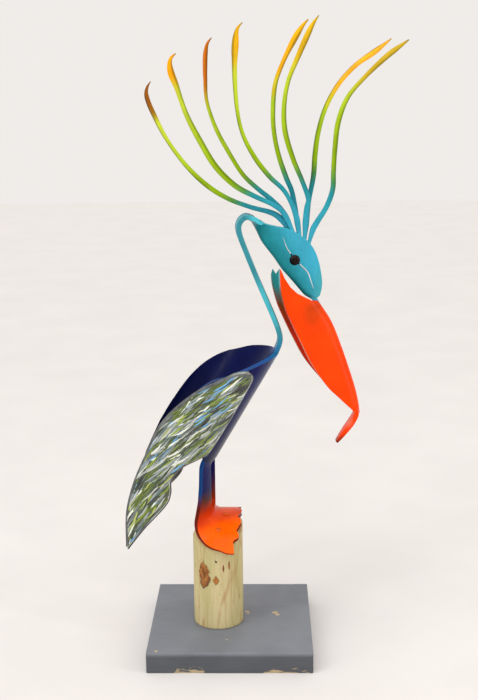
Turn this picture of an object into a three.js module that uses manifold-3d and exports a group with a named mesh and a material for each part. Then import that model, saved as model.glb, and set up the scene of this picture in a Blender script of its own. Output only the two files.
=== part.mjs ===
// A folk-art pelican cut, heated and folded from plastic drain pipe.
// It stands on a round post, which stands on a painted square board.
// Millimetres, +Z up, +X toward the pelican's bill, -Y toward the viewer.
// The origin is the centre of the board's underside.

import * as THREE from 'three';
import { mergeVertices } from 'three/addons/utils/BufferGeometryUtils.js';
import Module from 'manifold-3d';

const wasm = await Module();
wasm.setup();

// Driving dimensions

const BOARD = { side: 286, height: 38 };
const GAP = 0.3;

// The pipe that the whole bird is cut from.
const PIPE = { radius: 109.5, wall: 8.2, facet: 5 };
const BIRD_Y = 20;

// How far across the cutters reach.
const WIDE = { from: -60, to: 120 };

// The breast is a half pipe that leans forward: its front line starts at the
// top point and runs down and back at the lean angle, measured from vertical.
const BREAST = { topX: 87.4, topZ: 526.4, lean: 30.44, length: 226 };
const RIM_RISE = { near: 112, far: 90, farLift: 6, liftFrom: 44, liftTo: 66 };
const TAIL = { end: 345, innerAngle: 67 };

// The wings lie on the pipe.
const WING = { wall: 7.7, farTurn: 8 };

// The legs come straight down from the hip and bend forward into a webbed foot
// with the pipe's own arch.
const LEGS = { hipOutside: 33, nearFront: 18, farFront: -2, bendZ: 244, bendRadius: 10 };
const POST = { x: -22.5, y: -10, radius: 44.25, chamferEndZ: 184, heelZ: 197, heelX: -30 };
const SCREW = { head: 4.6, dome: 2.6, shank: 2.2, length: 28 };
const SCREW_SEATS = [
  { name: 'screw_upper', x: -8.3, angle: 8.5 },
  { name: 'screw_lower', x: -20.6, angle: 31.1 },
];

// The head is the pipe wall folded double around a fold line.
const HEAD = { foldRadius: 4.5, foldArc: 7.1, yaw: 9 };
const EYE = { x: 115.1, z: 689.2, radius: 12.2 };

const COLOURS = {
  board: 0x83868a,
  post: 0xb59a6c,
  legs: 0x14223f,
  body: 0x0c1248,
  neck: 0x4fb0bf,
  crest: 0xb8b432,
  bill: 0xf05a14,
  wing: 0x7f8f80,
  eye: 0x120b08,
  screw: 0xc9b27a,
};

// Solids from geometry

function mergedGeometry(source) {
  const geometry = source.clone();
  geometry.deleteAttribute('normal');
  geometry.deleteAttribute('uv');
  return mergeVertices(geometry, 1e-4);
}

function withoutSlivers(index) {
  const kept = [];
  for (let i = 0; i < index.length; i += 3) {
    const [a, b, c] = [index[i], index[i + 1], index[i + 2]];
    if (a !== b && b !== c && c !== a) kept.push(a, b, c);
  }
  return kept;
}

function signedVolume(positions, index) {
  const corner = (k) => new THREE.Vector3().fromArray(positions, 3 * index[k]);
  let volume = 0;
  for (let i = 0; i < index.length; i += 3) {
    volume += corner(i).dot(corner(i + 1).cross(corner(i + 2))) / 6;
  }
  return volume;
}

function toSolid(source) {
  const geometry = mergedGeometry(source);
  const positions = geometry.getAttribute('position').array;
  const index = withoutSlivers(geometry.getIndex().array);
  if (signedVolume(positions, index) < 0) index.reverse();
  const mesh = new wasm.Mesh({
    numProp: 3,
    vertProperties: Float32Array.from(positions),
    triVerts: Uint32Array.from(index),
  });
  return new wasm.Manifold(mesh);
}

function toGeometry(solid) {
  const mesh = solid.getMesh();
  const geometry = new THREE.BufferGeometry();
  geometry.setAttribute('position', new THREE.BufferAttribute(mesh.vertProperties, 3));
  geometry.setIndex(new THREE.BufferAttribute(mesh.triVerts, 1));
  geometry.computeVertexNormals();
  return geometry;
}

function geometryFromTriangles(points, triangles) {
  const geometry = new THREE.BufferGeometry();
  const flat = points.flatMap((point) => point.toArray());
  geometry.setAttribute('position', new THREE.Float32BufferAttribute(flat, 3));
  geometry.setIndex(triangles.flat());
  return geometry;
}

// A closed solid between two grids of points, an outer and an inner skin.
function skinSolid(outer, inner) {
  const rows = outer.length;
  const columns = outer[0].length;
  const at = (skin, i, j) => (skin * rows + i) * columns + j;
  const triangles = [];
  const quad = (a, b, c, d) => triangles.push([a, b, c], [a, c, d]);
  for (let i = 0; i < rows - 1; i++) {
    for (let j = 0; j < columns - 1; j++) {
      quad(at(0, i, j), at(0, i, j + 1), at(0, i + 1, j + 1), at(0, i + 1, j));
      quad(at(1, i, j), at(1, i + 1, j), at(1, i + 1, j + 1), at(1, i, j + 1));
    }
  }
  const last = { row: rows - 1, column: columns - 1 };
  for (let i = 0; i < rows - 1; i++) {
    quad(at(0, i, 0), at(0, i + 1, 0), at(1, i + 1, 0), at(1, i, 0));
    quad(at(0, i, last.column), at(1, i, last.column),
      at(1, i + 1, last.column), at(0, i + 1, last.column));
  }
  for (let j = 0; j < columns - 1; j++) {
    quad(at(0, 0, j), at(1, 0, j), at(1, 0, j + 1), at(0, 0, j + 1));
    quad(at(0, last.row, j), at(0, last.row, j + 1),
      at(1, last.row, j + 1), at(1, last.row, j));
  }
  return toSolid(geometryFromTriangles([...outer.flat(), ...inner.flat()], triangles));
}

// A closed solid through rings of equal length, closed with a fan at each end.
function ringSolid(rings) {
  const count = rings[0].length;
  const triangles = [];
  for (let i = 0; i < rings.length - 1; i++) {
    for (let j = 0; j < count; j++) {
      const a = i * count + j;
      const b = i * count + (j + 1) % count;
      triangles.push([a, b, b + count], [a, b + count, a + count]);
    }
  }
  const end = (rings.length - 1) * count;
  for (let j = 1; j < count - 1; j++) {
    triangles.push([0, j + 1, j], [end, end + j, end + j + 1]);
  }
  return toSolid(geometryFromTriangles(rings.flat(), triangles));
}

// A flat outline given in two of the axes, extruded along the third.
function prism(outline, place) {
  const shape = new THREE.Shape(outline.map(([u, v]) => new THREE.Vector2(u, v)));
  const geometry = new THREE.ExtrudeGeometry(shape, { depth: 1, bevelEnabled: false });
  const position = geometry.getAttribute('position');
  for (let i = 0; i < position.count; i++) {
    const point = place(position.getX(i), position.getY(i), position.getZ(i));
    position.setXYZ(i, point.x, point.y, point.z);
  }
  return toSolid(geometry);
}

function prismAlongX(outline, from, to) {
  return prism(outline, (y, z, t) => new THREE.Vector3(from + (to - from) * t, y, z));
}

function prismAlongZ(outline, from, to) {
  return prism(outline, (x, y, t) => new THREE.Vector3(x, y, from + (to - from) * t));
}

// Along Y, and dropping with y where the cut follows a line of sight.
function prismAlongY(outline, from, to, drop = 0) {
  return prism(outline, (x, z, t) => {
    const y = from + (to - from) * t;
    return new THREE.Vector3(x, y, z - drop * (y - BIRD_Y));
  });
}

// Smooth curves

function smoothRows(keys, count) {
  const rows = [];
  for (let i = 0; i < count; i++) {
    const t = (i / (count - 1)) * (keys.length - 1);
    const k = Math.min(Math.floor(t), keys.length - 2);
    const f = t - k;
    const at = (n) => keys[THREE.MathUtils.clamp(n, 0, keys.length - 1)];
    const [a, b, c, d] = [at(k - 1), at(k), at(k + 1), at(k + 2)];
    rows.push(b.map((value, n) => {
      const slopeB = (c[n] - a[n]) / 2;
      const slopeC = (d[n] - value) / 2;
      const rise = c[n] - value;
      return value + f * (slopeB + f * (3 * rise - 2 * slopeB - slopeC
        + f * (slopeB + slopeC - 2 * rise)));
    }));
  }
  return rows;
}

function smoothOutline(points, perSpan) {
  return smoothRows(points, (points.length - 1) * perSpan + 1);
}

const radians = THREE.MathUtils.degToRad;

function range(from, to, count) {
  return Array.from({ length: count + 1 }, (_, i) => from + ((to - from) * i) / count);
}

// The leaning pipe: a point at an angle around it, a distance down it from the
// breast's top, and a radius. Positive angles are on the viewer's side.
const lean = radians(BREAST.lean);
const down = new THREE.Vector3(-Math.sin(lean), 0, -Math.cos(lean));
const inward = new THREE.Vector3(down.z, 0, -down.x);

function onPipe(angle, along, radius) {
  const depth = PIPE.radius - radius * Math.cos(radians(angle));
  return new THREE.Vector3(BREAST.topX, 0, BREAST.topZ)
    .addScaledVector(down, along)
    .addScaledVector(inward, depth)
    .setY(BIRD_Y - radius * Math.sin(radians(angle)));
}

function pipeShell(angles, from, to, outerRadius, wall) {
  const skin = (radius) => [from, to].map((along) =>
    angles.map((angle) => onPipe(angle, along, radius)));
  return skinSolid(skin(outerRadius), skin(outerRadius - wall));
}

// A cutter with walls that stand square to the pipe, from an outline of angles
// and distances. Its walls have two more rings close to the pipe's skins.
function radialCutter(outline) {
  const contour = outline.map(([angle, along]) => new THREE.Vector2(angle, along));
  const faces = THREE.ShapeUtils.triangulateShape(contour, []);
  const count = outline.length;
  const radii = [0.35, 0.92, 1.09, 2].map((ratio) => ratio * PIPE.radius);
  const points = radii.flatMap((radius) =>
    outline.map(([angle, along]) => onPipe(angle, along, radius)));
  const top = (radii.length - 1) * count;
  const triangles = faces.flatMap(([a, b, c]) => [[a, b, c], [a + top, c + top, b + top]]);
  const turned = THREE.ShapeUtils.isClockWise(contour);
  for (let ring = 0; ring < top; ring += count) {
    for (let i = 0; i < count; i++) {
      const j = (i + 1) % count;
      const [first, second] = turned ? [ring + i, ring + j] : [ring + j, ring + i];
      triangles.push([first, second, second + count], [first, second + count, first + count]);
    }
  }
  return toSolid(geometryFromTriangles(points, triangles));
}

// The hip: where the leaning pipe meets the upright legs, on the plane half way
// between their directions.

function hipAlong(angle) {
  const depth = PIPE.radius * (1 - Math.cos(radians(angle)));
  return BREAST.length + depth * Math.tan(radians(BREAST.lean / 2));
}

const hipTop = onPipe(0, BREAST.length, PIPE.radius);

function hipZ(depth) {
  return hipTop.z + depth * Math.tan(radians(BREAST.lean / 2));
}

// Body: a half pipe with a sloping rim and a tail flap on each side.

function bodyOutline(side) {
  const { near, far, farLift, liftFrom, liftTo } = RIM_RISE;
  const rise = side > 0 ? near : far;
  const lift = (angle) => (side > 0 ? 0 : farLift * THREE.MathUtils.smoothstep(angle, liftFrom, liftTo));
  const rim = range(0, 65, 13).map((angle) => [angle, rise * (1 - Math.cos(radians(angle))) + lift(angle)]);
  const shoulder = smoothOutline([[75, 80], [83, 109], [88.5, 149], [91, 200], [91.5, 240],
    [89, 290]], 2);
  const tail = smoothOutline([[87, 315], [80, TAIL.end], [71, 330], [TAIL.innerAngle, 290],
    [TAIL.innerAngle - 1, 252], [60, 224], [52, 205], [44, 199], [36, 207]], 2);
  const hip = range(LEGS.hipOutside, 0, 9).map((angle) => [angle, hipAlong(angle) - GAP]);
  return [...rim, ...shoulder, ...tail, ...hip].map(([angle, along]) => [side * angle, along]);
}

function makeBody() {
  const { facet, radius, wall } = PIPE;
  const half = (side) => {
    const angles = range(-facet * side, 95 * side, 20);
    const shell = pipeShell(angles, -5, TAIL.end + 5, radius, wall);
    return shell.intersect(radialCutter(bodyOutline(side)));
  };
  const legSlot = [
    [LEGS.farFront, 250],
    [LEGS.farFront + 1, 226],
    [8, 219],
    [LEGS.nearFront - 1, 227],
    [LEGS.nearFront, 250],
  ];
  return half(1).add(half(-1)).subtract(radialCutter(legSlot));
}

// Wings: long leaf shapes with a notched lower edge and a pointed tip.

function wingOutline(side) {
  const rear = smoothOutline([[49, 40], [68, 66], [84.5, 110], [96, 177], [94.4, 243],
    [90.7, 302], [82.5, 355], [66.5, 410]], 3);
  const front = smoothOutline([[66.5, 410], [62.5, 362], [55.9, 312], [58.1, 288], [63.8, 266],
    [61.5, 237], [50, 212], [43, 196], [41.2, 135], [42, 62], [49, 40]], 3);
  const turn = side > 0 ? 0 : WING.farTurn;
  return [...rear, ...front.slice(1, -1)].map(([angle, along]) => [side * (angle - turn), along]);
}

function makeWing(side) {
  const angles = range(30 * side, 100 * side, 16);
  const outerRadius = PIPE.radius + GAP + WING.wall;
  const shell = pipeShell(angles, 30, 415, outerRadius, WING.wall);
  return shell.intersect(radialCutter(wingOutline(side)));
}

// Legs and foot: the pipe's section swept down, round the ankle and forward.

// Each stage of the sweep has its place and the angle of its side edges, which
// flare from the legs to the foot.
const FOOT_STAGES = [
  { kind: 'hip', edge: LEGS.hipOutside },
  { kind: 'leg', z: 272, edge: 36 },
  { kind: 'bend', degrees: 0, edge: 40.8 },
  { kind: 'bend', degrees: 15, edge: 42.6 },
  { kind: 'bend', degrees: 30, edge: 44.8 },
  { kind: 'bend', degrees: 45, edge: 46.9 },
  { kind: 'bend', degrees: 60, edge: 48.4 },
  { kind: 'bend', degrees: 75, edge: 49.6 },
  { kind: 'bend', degrees: 90, edge: 51 },
  { kind: 'plate', x: 0, edge: 53.9 },
  { kind: 'plate', x: 30, edge: 54.3 },
];

function footPoint(angle, radius, stage) {
  const depth = PIPE.radius - radius * Math.cos(radians(angle));
  const y = BIRD_Y - radius * Math.sin(radians(angle));
  const bendX = hipTop.x + LEGS.bendRadius;
  const turned = LEGS.bendRadius + depth;
  const bend = radians(stage.degrees ?? 0);
  const places = {
    hip: () => [hipTop.x - depth, y, hipZ(depth) - GAP],
    leg: () => [hipTop.x - depth, y, stage.z],
    bend: () => [bendX - turned * Math.cos(bend), y, LEGS.bendZ - turned * Math.sin(bend)],
    plate: () => [stage.x, y, LEGS.bendZ - turned],
  };
  return new THREE.Vector3(...places[stage.kind]());
}

function legSlotCutter() {
  const y = (angle) => BIRD_Y - PIPE.radius * Math.sin(radians(angle));
  const [near, far, top, bottom] = [y(LEGS.nearFront), y(LEGS.farFront), 345, 248];
  const slot = [[near, top], [near, bottom + 8], [near + 8, bottom], [far - 8, bottom],
    [far, bottom + 8], [far, top]];
  return prismAlongX(slot, -120, hipTop.x + LEGS.bendRadius);
}

// The toes: webbed, with bites that grow toward the sides. Points are x and the
// distance from the middle.
function toeCutter() {
  const half = [[19.5, 0], [18.3, 5], [14.9, 17.4], [12.8, 23.7], [16.9, 31.2], [17.7, 40.2],
    [12.8, 50.1], [10.8, 57], [13.5, 66.6], [5.5, 71.2], [4.2, 76], [6.8, 96]];
  const near = half.map(([x, y]) => [x, BIRD_Y - y]);
  const far = half.slice(1).map(([x, y]) => [x, BIRD_Y + y]);
  const edge = [...near.reverse(), ...far];
  return prismAlongZ([...edge, [60, 150], [60, -110]], 150, 300);
}

// A place on the foot's upper face, and the direction that the face looks.
function seatOnFoot(seat) {
  const angle = radians(seat.angle);
  const turned = LEGS.bendRadius + PIPE.radius * (1 - Math.cos(angle));
  const behind = Math.max(hipTop.x + LEGS.bendRadius - seat.x, 0);
  const bend = Math.acos(behind / turned);
  const centre = new THREE.Vector3(
    seat.x, BIRD_Y - PIPE.radius * Math.sin(angle), LEGS.bendZ - turned * Math.sin(bend));
  const normal = new THREE.Vector3(
    Math.cos(angle) * Math.cos(bend), -Math.sin(angle), Math.cos(angle) * Math.sin(bend));
  return { centre, normal };
}

function turnedSolid(profile, sides, seat) {
  const { centre, normal } = seatOnFoot(seat);
  const points = profile.map(([r, h]) => new THREE.Vector2(r, h));
  const geometry = new THREE.LatheGeometry(points, sides);
  const upright = new THREE.Vector3(0, 1, 0);
  geometry.applyQuaternion(new THREE.Quaternion().setFromUnitVectors(upright, normal));
  geometry.translate(centre.x, centre.y, centre.z);
  return toSolid(geometry);
}

function makeScrew(seat) {
  const { head, dome, shank, length } = SCREW;
  const seatHeight = 2 * GAP;
  const cap = range(90, 0, 4).map((a) =>
    [head * Math.sin(radians(a)), seatHeight + dome * Math.cos(radians(a))]);
  cap[cap.length - 1][0] = 0;
  return turnedSolid([[0, -length], [shank, -length + shank], [shank, seatHeight], ...cap], 16, seat);
}

function screwHole(seat) {
  const radius = SCREW.shank + GAP;
  const depth = SCREW.length + 1;
  return turnedSolid([[0, -depth], [radius, -depth], [radius, 5], [0, 5]], 16, seat);
}

function makeLegsAndFoot() {
  const skin = (radius) => FOOT_STAGES.map((stage) =>
    range(-stage.edge, stage.edge, 22).map((angle) => footPoint(angle, radius, stage)));
  let solid = skinSolid(skin(PIPE.radius), skin(PIPE.radius - PIPE.wall));
  solid = solid.subtract(legSlotCutter()).subtract(toeCutter());
  for (const seat of SCREW_SEATS) solid = solid.subtract(screwHole(seat));
  return solid;
}

// Post: its top follows the underside of the foot, and is sawn off at a slant
// toward the viewer and at the back of the ankle.

function makePost() {
  const { x, y, radius, chamferEndZ, heelZ, heelX } = POST;
  const axisZ = LEGS.bendZ - LEGS.bendRadius - PIPE.radius;
  const seatRadius = PIPE.radius - PIPE.wall - GAP;
  const reach = radius + 2;
  const arch = range(y, y + reach, 8).map((py) =>
    [py, axisZ + Math.sqrt(seatRadius ** 2 - (py - BIRD_Y) ** 2)]);
  const bottom = BOARD.height + GAP;
  const top = 300;
  const profile = [[y - reach, bottom], [y - reach, chamferEndZ], ...arch, [y + reach, bottom]];
  const heel = [[x - reach, heelZ], [heelX, heelZ + heelX - x + reach], [heelX, top], [x - reach, top]];
  const cylinder = new THREE.CylinderGeometry(radius, radius, top, 48);
  cylinder.rotateX(Math.PI / 2);
  cylinder.translate(x, y, top / 2);
  let solid = toSolid(cylinder).intersect(prismAlongX(profile, x - reach, x + reach));
  solid = solid.subtract(prismAlongY(heel, y - reach, y + reach));
  for (const seat of SCREW_SEATS) solid = solid.subtract(screwHole(seat));
  return solid;
}

// Neck and head: one strip of the pipe. It rises from the breast, bends over at
// the top, widens and folds double around its middle.
// Each station: outer face x and z, the direction to the inside as x and z, half
// the strip's width, the fold in degrees and the yaw in degrees.

const NECK_STATIONS = [
  [78.0, 510.5, -0.86, 0.51, 16, 0, 0],
  [87.4, 526.4, -0.90, 0.44, 16, 0, 0],
  [94.3, 547.0, -0.99, 0.10, 16, 0, 1],
  [92.2, 565.0, -0.97, -0.25, 16, 0, 2],
  [81.0, 595.8, -0.92, -0.39, 16, 0, 3],
  [54.6, 658.7, -0.925, -0.38, 16, 0, 3],
  [30.2, 720.7, -0.96, -0.28, 17, 0, 4],
  [24.2, 741.2, -0.99, -0.14, 17.5, 0, 5],
  [25.6, 751.5, -0.90, 0.43, 18, 0, 5],
  [32.0, 757.8, -0.26, 0.96, 19, 0, 5],
  [38.8, 756.0, 0.42, 0.91, 20.5, 0, 6],
];

// Each station: fold line x and z, upper edge x and z, and the fold in degrees.
const FOLD_STATIONS = [
  [43.7, 749.9, 47.6, 757.5, 28],
  [50.5, 737.0, 55.0, 754.5, 80],
  [59.6, 718.8, 64.5, 752.1, 165],
  [78.9, 693.3, 83.2, 746.9, 180],
  [92.0, 674.0, 103.6, 742.5, 180],
  [107.7, 655.8, 128.0, 728.6, 180],
  [119.0, 642.5, 146.4, 708.8, 180],
  [130.8, 628.7, 159.2, 668.0, 180],
  [140.0, 622.5, 161.0, 645.0, 180],
  [147.0, 618.5, 157.0, 627.0, 180],
];

function foldedStations() {
  const { foldArc } = HEAD;
  const folded = FOLD_STATIONS.map(([x, z, edgeX, edgeZ, fold]) => {
    const reach = Math.hypot(edgeX - x, edgeZ - z);
    const slope = radians(fold) / 2;
    const arcDepth = ((1 - Math.cos(slope)) / slope) * foldArc;
    const half = foldArc + (reach - PIPE.wall / 2 - arcDepth) / Math.sin(slope);
    const [dx, dz] = [(edgeX - x) / reach, (edgeZ - z) / reach];
    return [x, z, dx, dz, Math.max(half, foldArc + 3), fold, HEAD.yaw];
  });
  return [...NECK_STATIONS, ...folded];
}

// The middle line of the folded section: an arc at the fold, then straight. It
// gives across and depth for a distance along the strip, and its slope.
function foldedSection(distance, fold) {
  const { foldArc } = HEAD;
  const side = Math.sign(distance);
  const length = Math.abs(distance);
  const curve = radians(fold) / (2 * foldArc);
  const onArc = Math.min(length, foldArc);
  const slope = curve * onArc;
  const across = curve > 1e-6 ? Math.sin(slope) / curve : onArc;
  const depth = curve > 1e-6 ? (1 - Math.cos(slope)) / curve : 0;
  const rest = length - onArc;
  return {
    across: side * (across + rest * Math.cos(slope)),
    depth: depth + rest * Math.sin(slope),
    slope: side * slope,
  };
}

function sectionDistances(half) {
  const { foldArc } = HEAD;
  const oneSide = [0, foldArc / 2, foldArc, (foldArc + half) / 2, half];
  return [...oneSide.slice(1).reverse().map((v) => -v), ...oneSide];
}

function makeNeckStrip() {
  const rows = smoothRows(foldedStations(), 42);
  const skin = (offset) => rows.map(([x, z, dx, dz, half, fold, yaw]) => {
    const size = Math.hypot(dx, dz);
    return sectionDistances(half).map((distance) => {
      const { across, depth, slope } = foldedSection(distance, fold);
      const sideways = across + offset * Math.sin(slope);
      const inside = PIPE.wall / 2 + depth - offset * Math.cos(slope);
      const shift = sideways * Math.tan(radians(yaw));
      return new THREE.Vector3(
        x + (inside * dx) / size + shift, BIRD_Y - sideways, z + (inside * dz) / size);
    });
  });
  return skinSolid(skin(PIPE.wall / 2), skin(-PIPE.wall / 2));
}

function eyeSlitCutter() {
  const upper = [[94.4, 729.8], [101.7, 710.2], [109.2, 698.6]];
  const lower = [[121.2, 684.3], [137.3, 667.4], [142, 655.8], [148.4, 635.9]];
  const middle = [...upper, [EYE.x, EYE.z], ...lower];
  const line = smoothOutline(middle, 2);
  const widest = 1.3;
  const side = (sign) => line.map(([x, z], i) => {
    const width = widest * Math.sin((Math.PI * i) / (line.length - 1));
    return [x + sign * width * 0.8, z + sign * width * 0.6];
  });
  const outline = [...side(1), ...side(-1).slice(1, -1).reverse()];
  return prismAlongY(outline, -20, 60);
}

function eyeBall(radius, rings) {
  const ball = new THREE.SphereGeometry(radius, 2 * rings, rings);
  ball.translate(EYE.x, BIRD_Y, EYE.z);
  return toSolid(ball);
}

// Crest: eight fingers, four from each wall of the fold, numbered from the back.
// Each finger: points as x, y and z from its root to its tip.

const NEAR_WALL_Y = BIRD_Y - HEAD.foldRadius;
const FAR_WALL_Y = BIRD_Y + HEAD.foldRadius;
const NEAR_ROOT_Y = NEAR_WALL_Y + 1;

const CREST = [
  [[112, FAR_WALL_Y, 726], [96, 25, 753], [78, 27, 768], [39, 29, 779], [0, 31, 794],
    [-36, 34, 817], [-71, 38, 851], [-103, 43, 895], [-124, 48, 936], [-133, 51, 957],
    [-136, 53, 971], [-133.4, 54, 982], [-128, 54, 990]],
  [[116, NEAR_ROOT_Y, 728], [98, NEAR_WALL_Y, 767], [78, 13, 784], [46, 11, 799], [14, 9, 817],
    [-18, 7, 849], [-43, 3, 891], [-65, 0, 935], [-80, -5, 980], [-87.6, -8, 1000],
    [-90.2, -9, 1015], [-87.7, -10, 1026], [-80, -10, 1033]],
  [[117, FAR_WALL_Y, 722], [98, 25, 766], [78, 28, 789], [52, 31, 810], [27, 34, 834],
    [4, 38, 870], [-18, 43, 911], [-33, 49, 956], [-35.3, 54, 995], [-35.5, 58, 1015],
    [-34.8, 61, 1034], [-31.5, 63, 1051], [-24, 64, 1061]],
  [[125, NEAR_ROOT_Y, 717], [119, NEAR_WALL_Y, 758], [109, 12, 787], [95, 10, 810], [72, 8, 832],
    [47, 4, 865], [28, 0, 903], [19, -5, 946], [16, -13, 1006], [18.5, -20, 1056],
    [22.6, -23, 1072], [30, -24, 1080]],
  [[124, FAR_WALL_Y, 716], [113, 26, 795], [101, 27, 828], [89, 30, 863], [81, 34, 901],
    [79, 38, 939], [83, 44, 983], [97, 51, 1021], [115, 58, 1056], [129, 62, 1078], [139, 64, 1089]],
  [[131, NEAR_ROOT_Y, 712], [135, 14, 774], [138, 12, 793], [127, 10, 825], [112, 8, 861],
    [99, 4, 905], [97, 0, 946], [104, -5, 988], [121, -12, 1029], [133, -16, 1056],
    [143, -19, 1076], [153, -20, 1090]],
  [[131, FAR_WALL_Y, 710], [139, 26, 785], [147, 27, 830], [150, 30, 869], [156, 33, 907],
    [168, 36, 945], [189, 40, 982], [217, 45, 1012], [246, 50, 1032], [264, 53, 1045], [278, 54, 1056]],
  [[136, NEAR_ROOT_Y, 703], [145, NEAR_WALL_Y, 738], [153, 13.5, 754], [169, 13, 780], [179, 12, 809],
    [180, 10, 838], [182, 9, 876], [187, 6, 920], [202, 4, 960], [230, 1, 993], [262, -3, 1023],
    [283, -5, 1039], [300, -6, 1051]],
];

const FINGER = { width: 9.2, tipWidth: 6, depth: 8, tipDepth: 5.4, twist: 35, steps: 16 };

function makeFinger(points) {
  const path = points.map((point) => new THREE.Vector3(...point));
  const curve = new THREE.CatmullRomCurve3(path, false, 'centripetal');
  const rings = range(0, 1, FINGER.steps).map((t) => {
    const centre = curve.getPointAt(t);
    const tangent = curve.getTangentAt(t);
    const across = new THREE.Vector3(0, 1, 0).cross(tangent).normalize();
    const twist = radians(FINGER.twist) * t * t;
    across.applyAxisAngle(tangent, twist);
    const through = tangent.clone().cross(across);
    const taper = THREE.MathUtils.smoothstep(t, 0.55, 1);
    const w = THREE.MathUtils.lerp(FINGER.width, FINGER.tipWidth, taper) / 2;
    const d = THREE.MathUtils.lerp(FINGER.depth, FINGER.tipDepth, taper) / 2;
    return [[-w, -d], [w, -d], [w, d], [-w, d]].map(([a, b]) =>
      centre.clone().addScaledVector(across, a).addScaledVector(through, b));
  });
  return ringSolid(rings);
}

// Bill: a channel with its back to the right, which narrows into a hooked strip.
// Each station: near edge x and z, back x and z, half the width, and how far
// left the far edge lies.

const BILL_STATIONS = [
  [88.5, 700, 108, 745, 31, 15],
  [89.0, 655, 121, 686, 30, 15],
  [92.3, 633, 131, 664, 29, 15],
  [99.7, 606.3, 144, 637, 28.5, 15],
  [110.7, 580.6, 157.7, 614.7, 28, 15],
  [125.0, 550.3, 178.8, 580.9, 27, 15],
  [144.9, 508.6, 197.0, 535.5, 25, 12],
  [170.8, 469.6, 214.0, 486.0, 22, 5],
  [191.0, 448.8, 222.5, 458.0, 20, 3],
  [209.0, 431.3, 227.5, 436.0, 18, 1],
  [214.5, 426.0, 229.2, 425.0, 17, 0],
  [218.0, 421.5, 230.0, 417.0, 16.5, 0],
];

// The line under the head that the channel's open top is cut to.
const BILL_TOP = [[60, 640], [74, 663], [77.5, 674], [83, 665], [88.5, 673], [91, 671],
  [97.7, 656], [107.4, 641], [119.3, 630], [133.4, 623], [144.4, 617.5], [152, 617], [158, 621],
  [164, 632], [172, 640]];
const SIGHT_DROP = 0.16;

function aboveBill(lift) {
  const line = [...BILL_TOP, [172, 800], [60, 800]].map(([x, z]) => [x, z + lift]);
  return prismAlongY(line, WIDE.from, WIDE.to, SIGHT_DROP);
}

function makeBillChannel() {
  const rows = smoothRows(BILL_STATIONS, 18);
  const angles = range(-90, 90, 10);
  const skin = (wall) => rows.map(([edgeX, edgeZ, backX, backZ, half, lag]) => angles.map((angle) => {
    const a = radians(angle);
    const middleX = edgeX - lag / 2;
    const deep = Math.hypot(backX - middleX, backZ - edgeZ);
    const [dx, dz] = [(backX - middleX) / deep, (backZ - edgeZ) / deep];
    const normal = new THREE.Vector2(Math.cos(a) / deep, Math.sin(a) / half).normalize();
    const depth = deep * Math.cos(a) - wall * normal.x;
    const across = half * Math.sin(a) - wall * normal.y;
    return new THREE.Vector3(
      middleX + depth * dx - (lag * across) / (2 * half),
      BIRD_Y + across,
      edgeZ + depth * dz);
  }));
  return skinSolid(skin(0), skin(PIPE.wall)).subtract(aboveBill(0));
}

// The hooked tip, with rings of station x and z, half thickness and half width.
function makeHook() {
  const stations = smoothRows([
    [218.5, 433, 3.4, 11], [223, 423, 4.1, 15], [222.7, 413.5, 4.8, 15.5], [214.4, 398.3, 5.2, 15.5],
    [204.6, 384.6, 4.6, 14], [197, 374, 3.8, 12], [190, 364.3, 2.6, 9],
  ], 16);
  const rings = stations.map(([x, z, thick, half], i) => {
    const before = stations[Math.max(i - 1, 0)];
    const after = stations[Math.min(i + 1, stations.length - 1)];
    const along = new THREE.Vector2(after[0] - before[0], after[1] - before[1]).normalize();
    return [[-1, -1], [1, -1], [1, 1], [-1, 1]].map(([a, b]) => new THREE.Vector3(
      x - a * thick * along.y, BIRD_Y + b * half, z + a * thick * along.x));
  });
  return ringSolid(rings);
}

// The bridge of wall that joins the head's tip to the bill's back.
function makeBridge() {
  const stations = [[143, 630, 4, 7], [150, 620, 4.5, 8], [156, 609, 4.5, 9], [164, 598, 4, 10]];
  const rings = stations.map(([x, z, thick, half]) => [[-1, -1], [1, -1], [1, 1], [-1, 1]].map(
    ([a, b]) => new THREE.Vector3(x + a * thick * 0.7, BIRD_Y + b * half, z + a * thick * 0.7)));
  return ringSolid(rings);
}

// The bird is parted across the neck, just above the breast, again behind the
// head, at the roots of the crest, and between the head and the bill.
const NECK_PART = { z: 566, left: 40, right: 99 };
const HEAD_PART = { x: 43, bottom: 690, top: 775 };
const CREST_PART = { rise: 18, from: 2, to: 9 };

function lowerNeckBox(top) {
  const { left, right } = NECK_PART;
  const outline = [[left, 300], [right, 300], [right, top], [left, top]];
  return prismAlongY(outline, WIDE.from, WIDE.to);
}

// Its right side runs between the neck and the bill.
function neckBox(right) {
  const { bottom, top } = HEAD_PART;
  const between = [[99, 566], [92, 581], [82, 606], [71, 633], [65, 655]];
  const outline = [[-20, 540], [99, 540], ...between, [right, bottom], [right, top], [-20, top]];
  return prismAlongY(outline, WIDE.from, WIDE.to);
}

// All that lies under a line a little above the head's upper edge.
function underCrest(gap) {
  const { rise, from, to } = CREST_PART;
  const edge = FOLD_STATIONS.slice(from, to).map(([, , x, z]) => [x, z + rise + gap]);
  const outline = [[-100, edge[0][1]], ...edge, [400, edge.at(-1)[1]], [400, 200], [-100, 200]];
  return prismAlongY(outline, WIDE.from, WIDE.to);
}

function makeUpperBird() {
  const bridge = makeBridge().intersect(aboveBill(GAP));
  const roots = CREST.map((finger) => makeFinger(finger).intersect(underCrest(-GAP / 2)));
  const head = [bridge, ...roots].reduce((solid, part) => solid.add(part), makeNeckStrip());
  return head.subtract(eyeSlitCutter()).subtract(eyeBall(EYE.radius + GAP, 10));
}

function makeBill() {
  return makeBillChannel().add(makeHook()).add(makeBridge().subtract(aboveBill(0)));
}

// Everything together

function finish(colour, roughness = 0.35) {
  return new THREE.MeshStandardMaterial({ color: colour, roughness, metalness: 0 });
}

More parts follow.
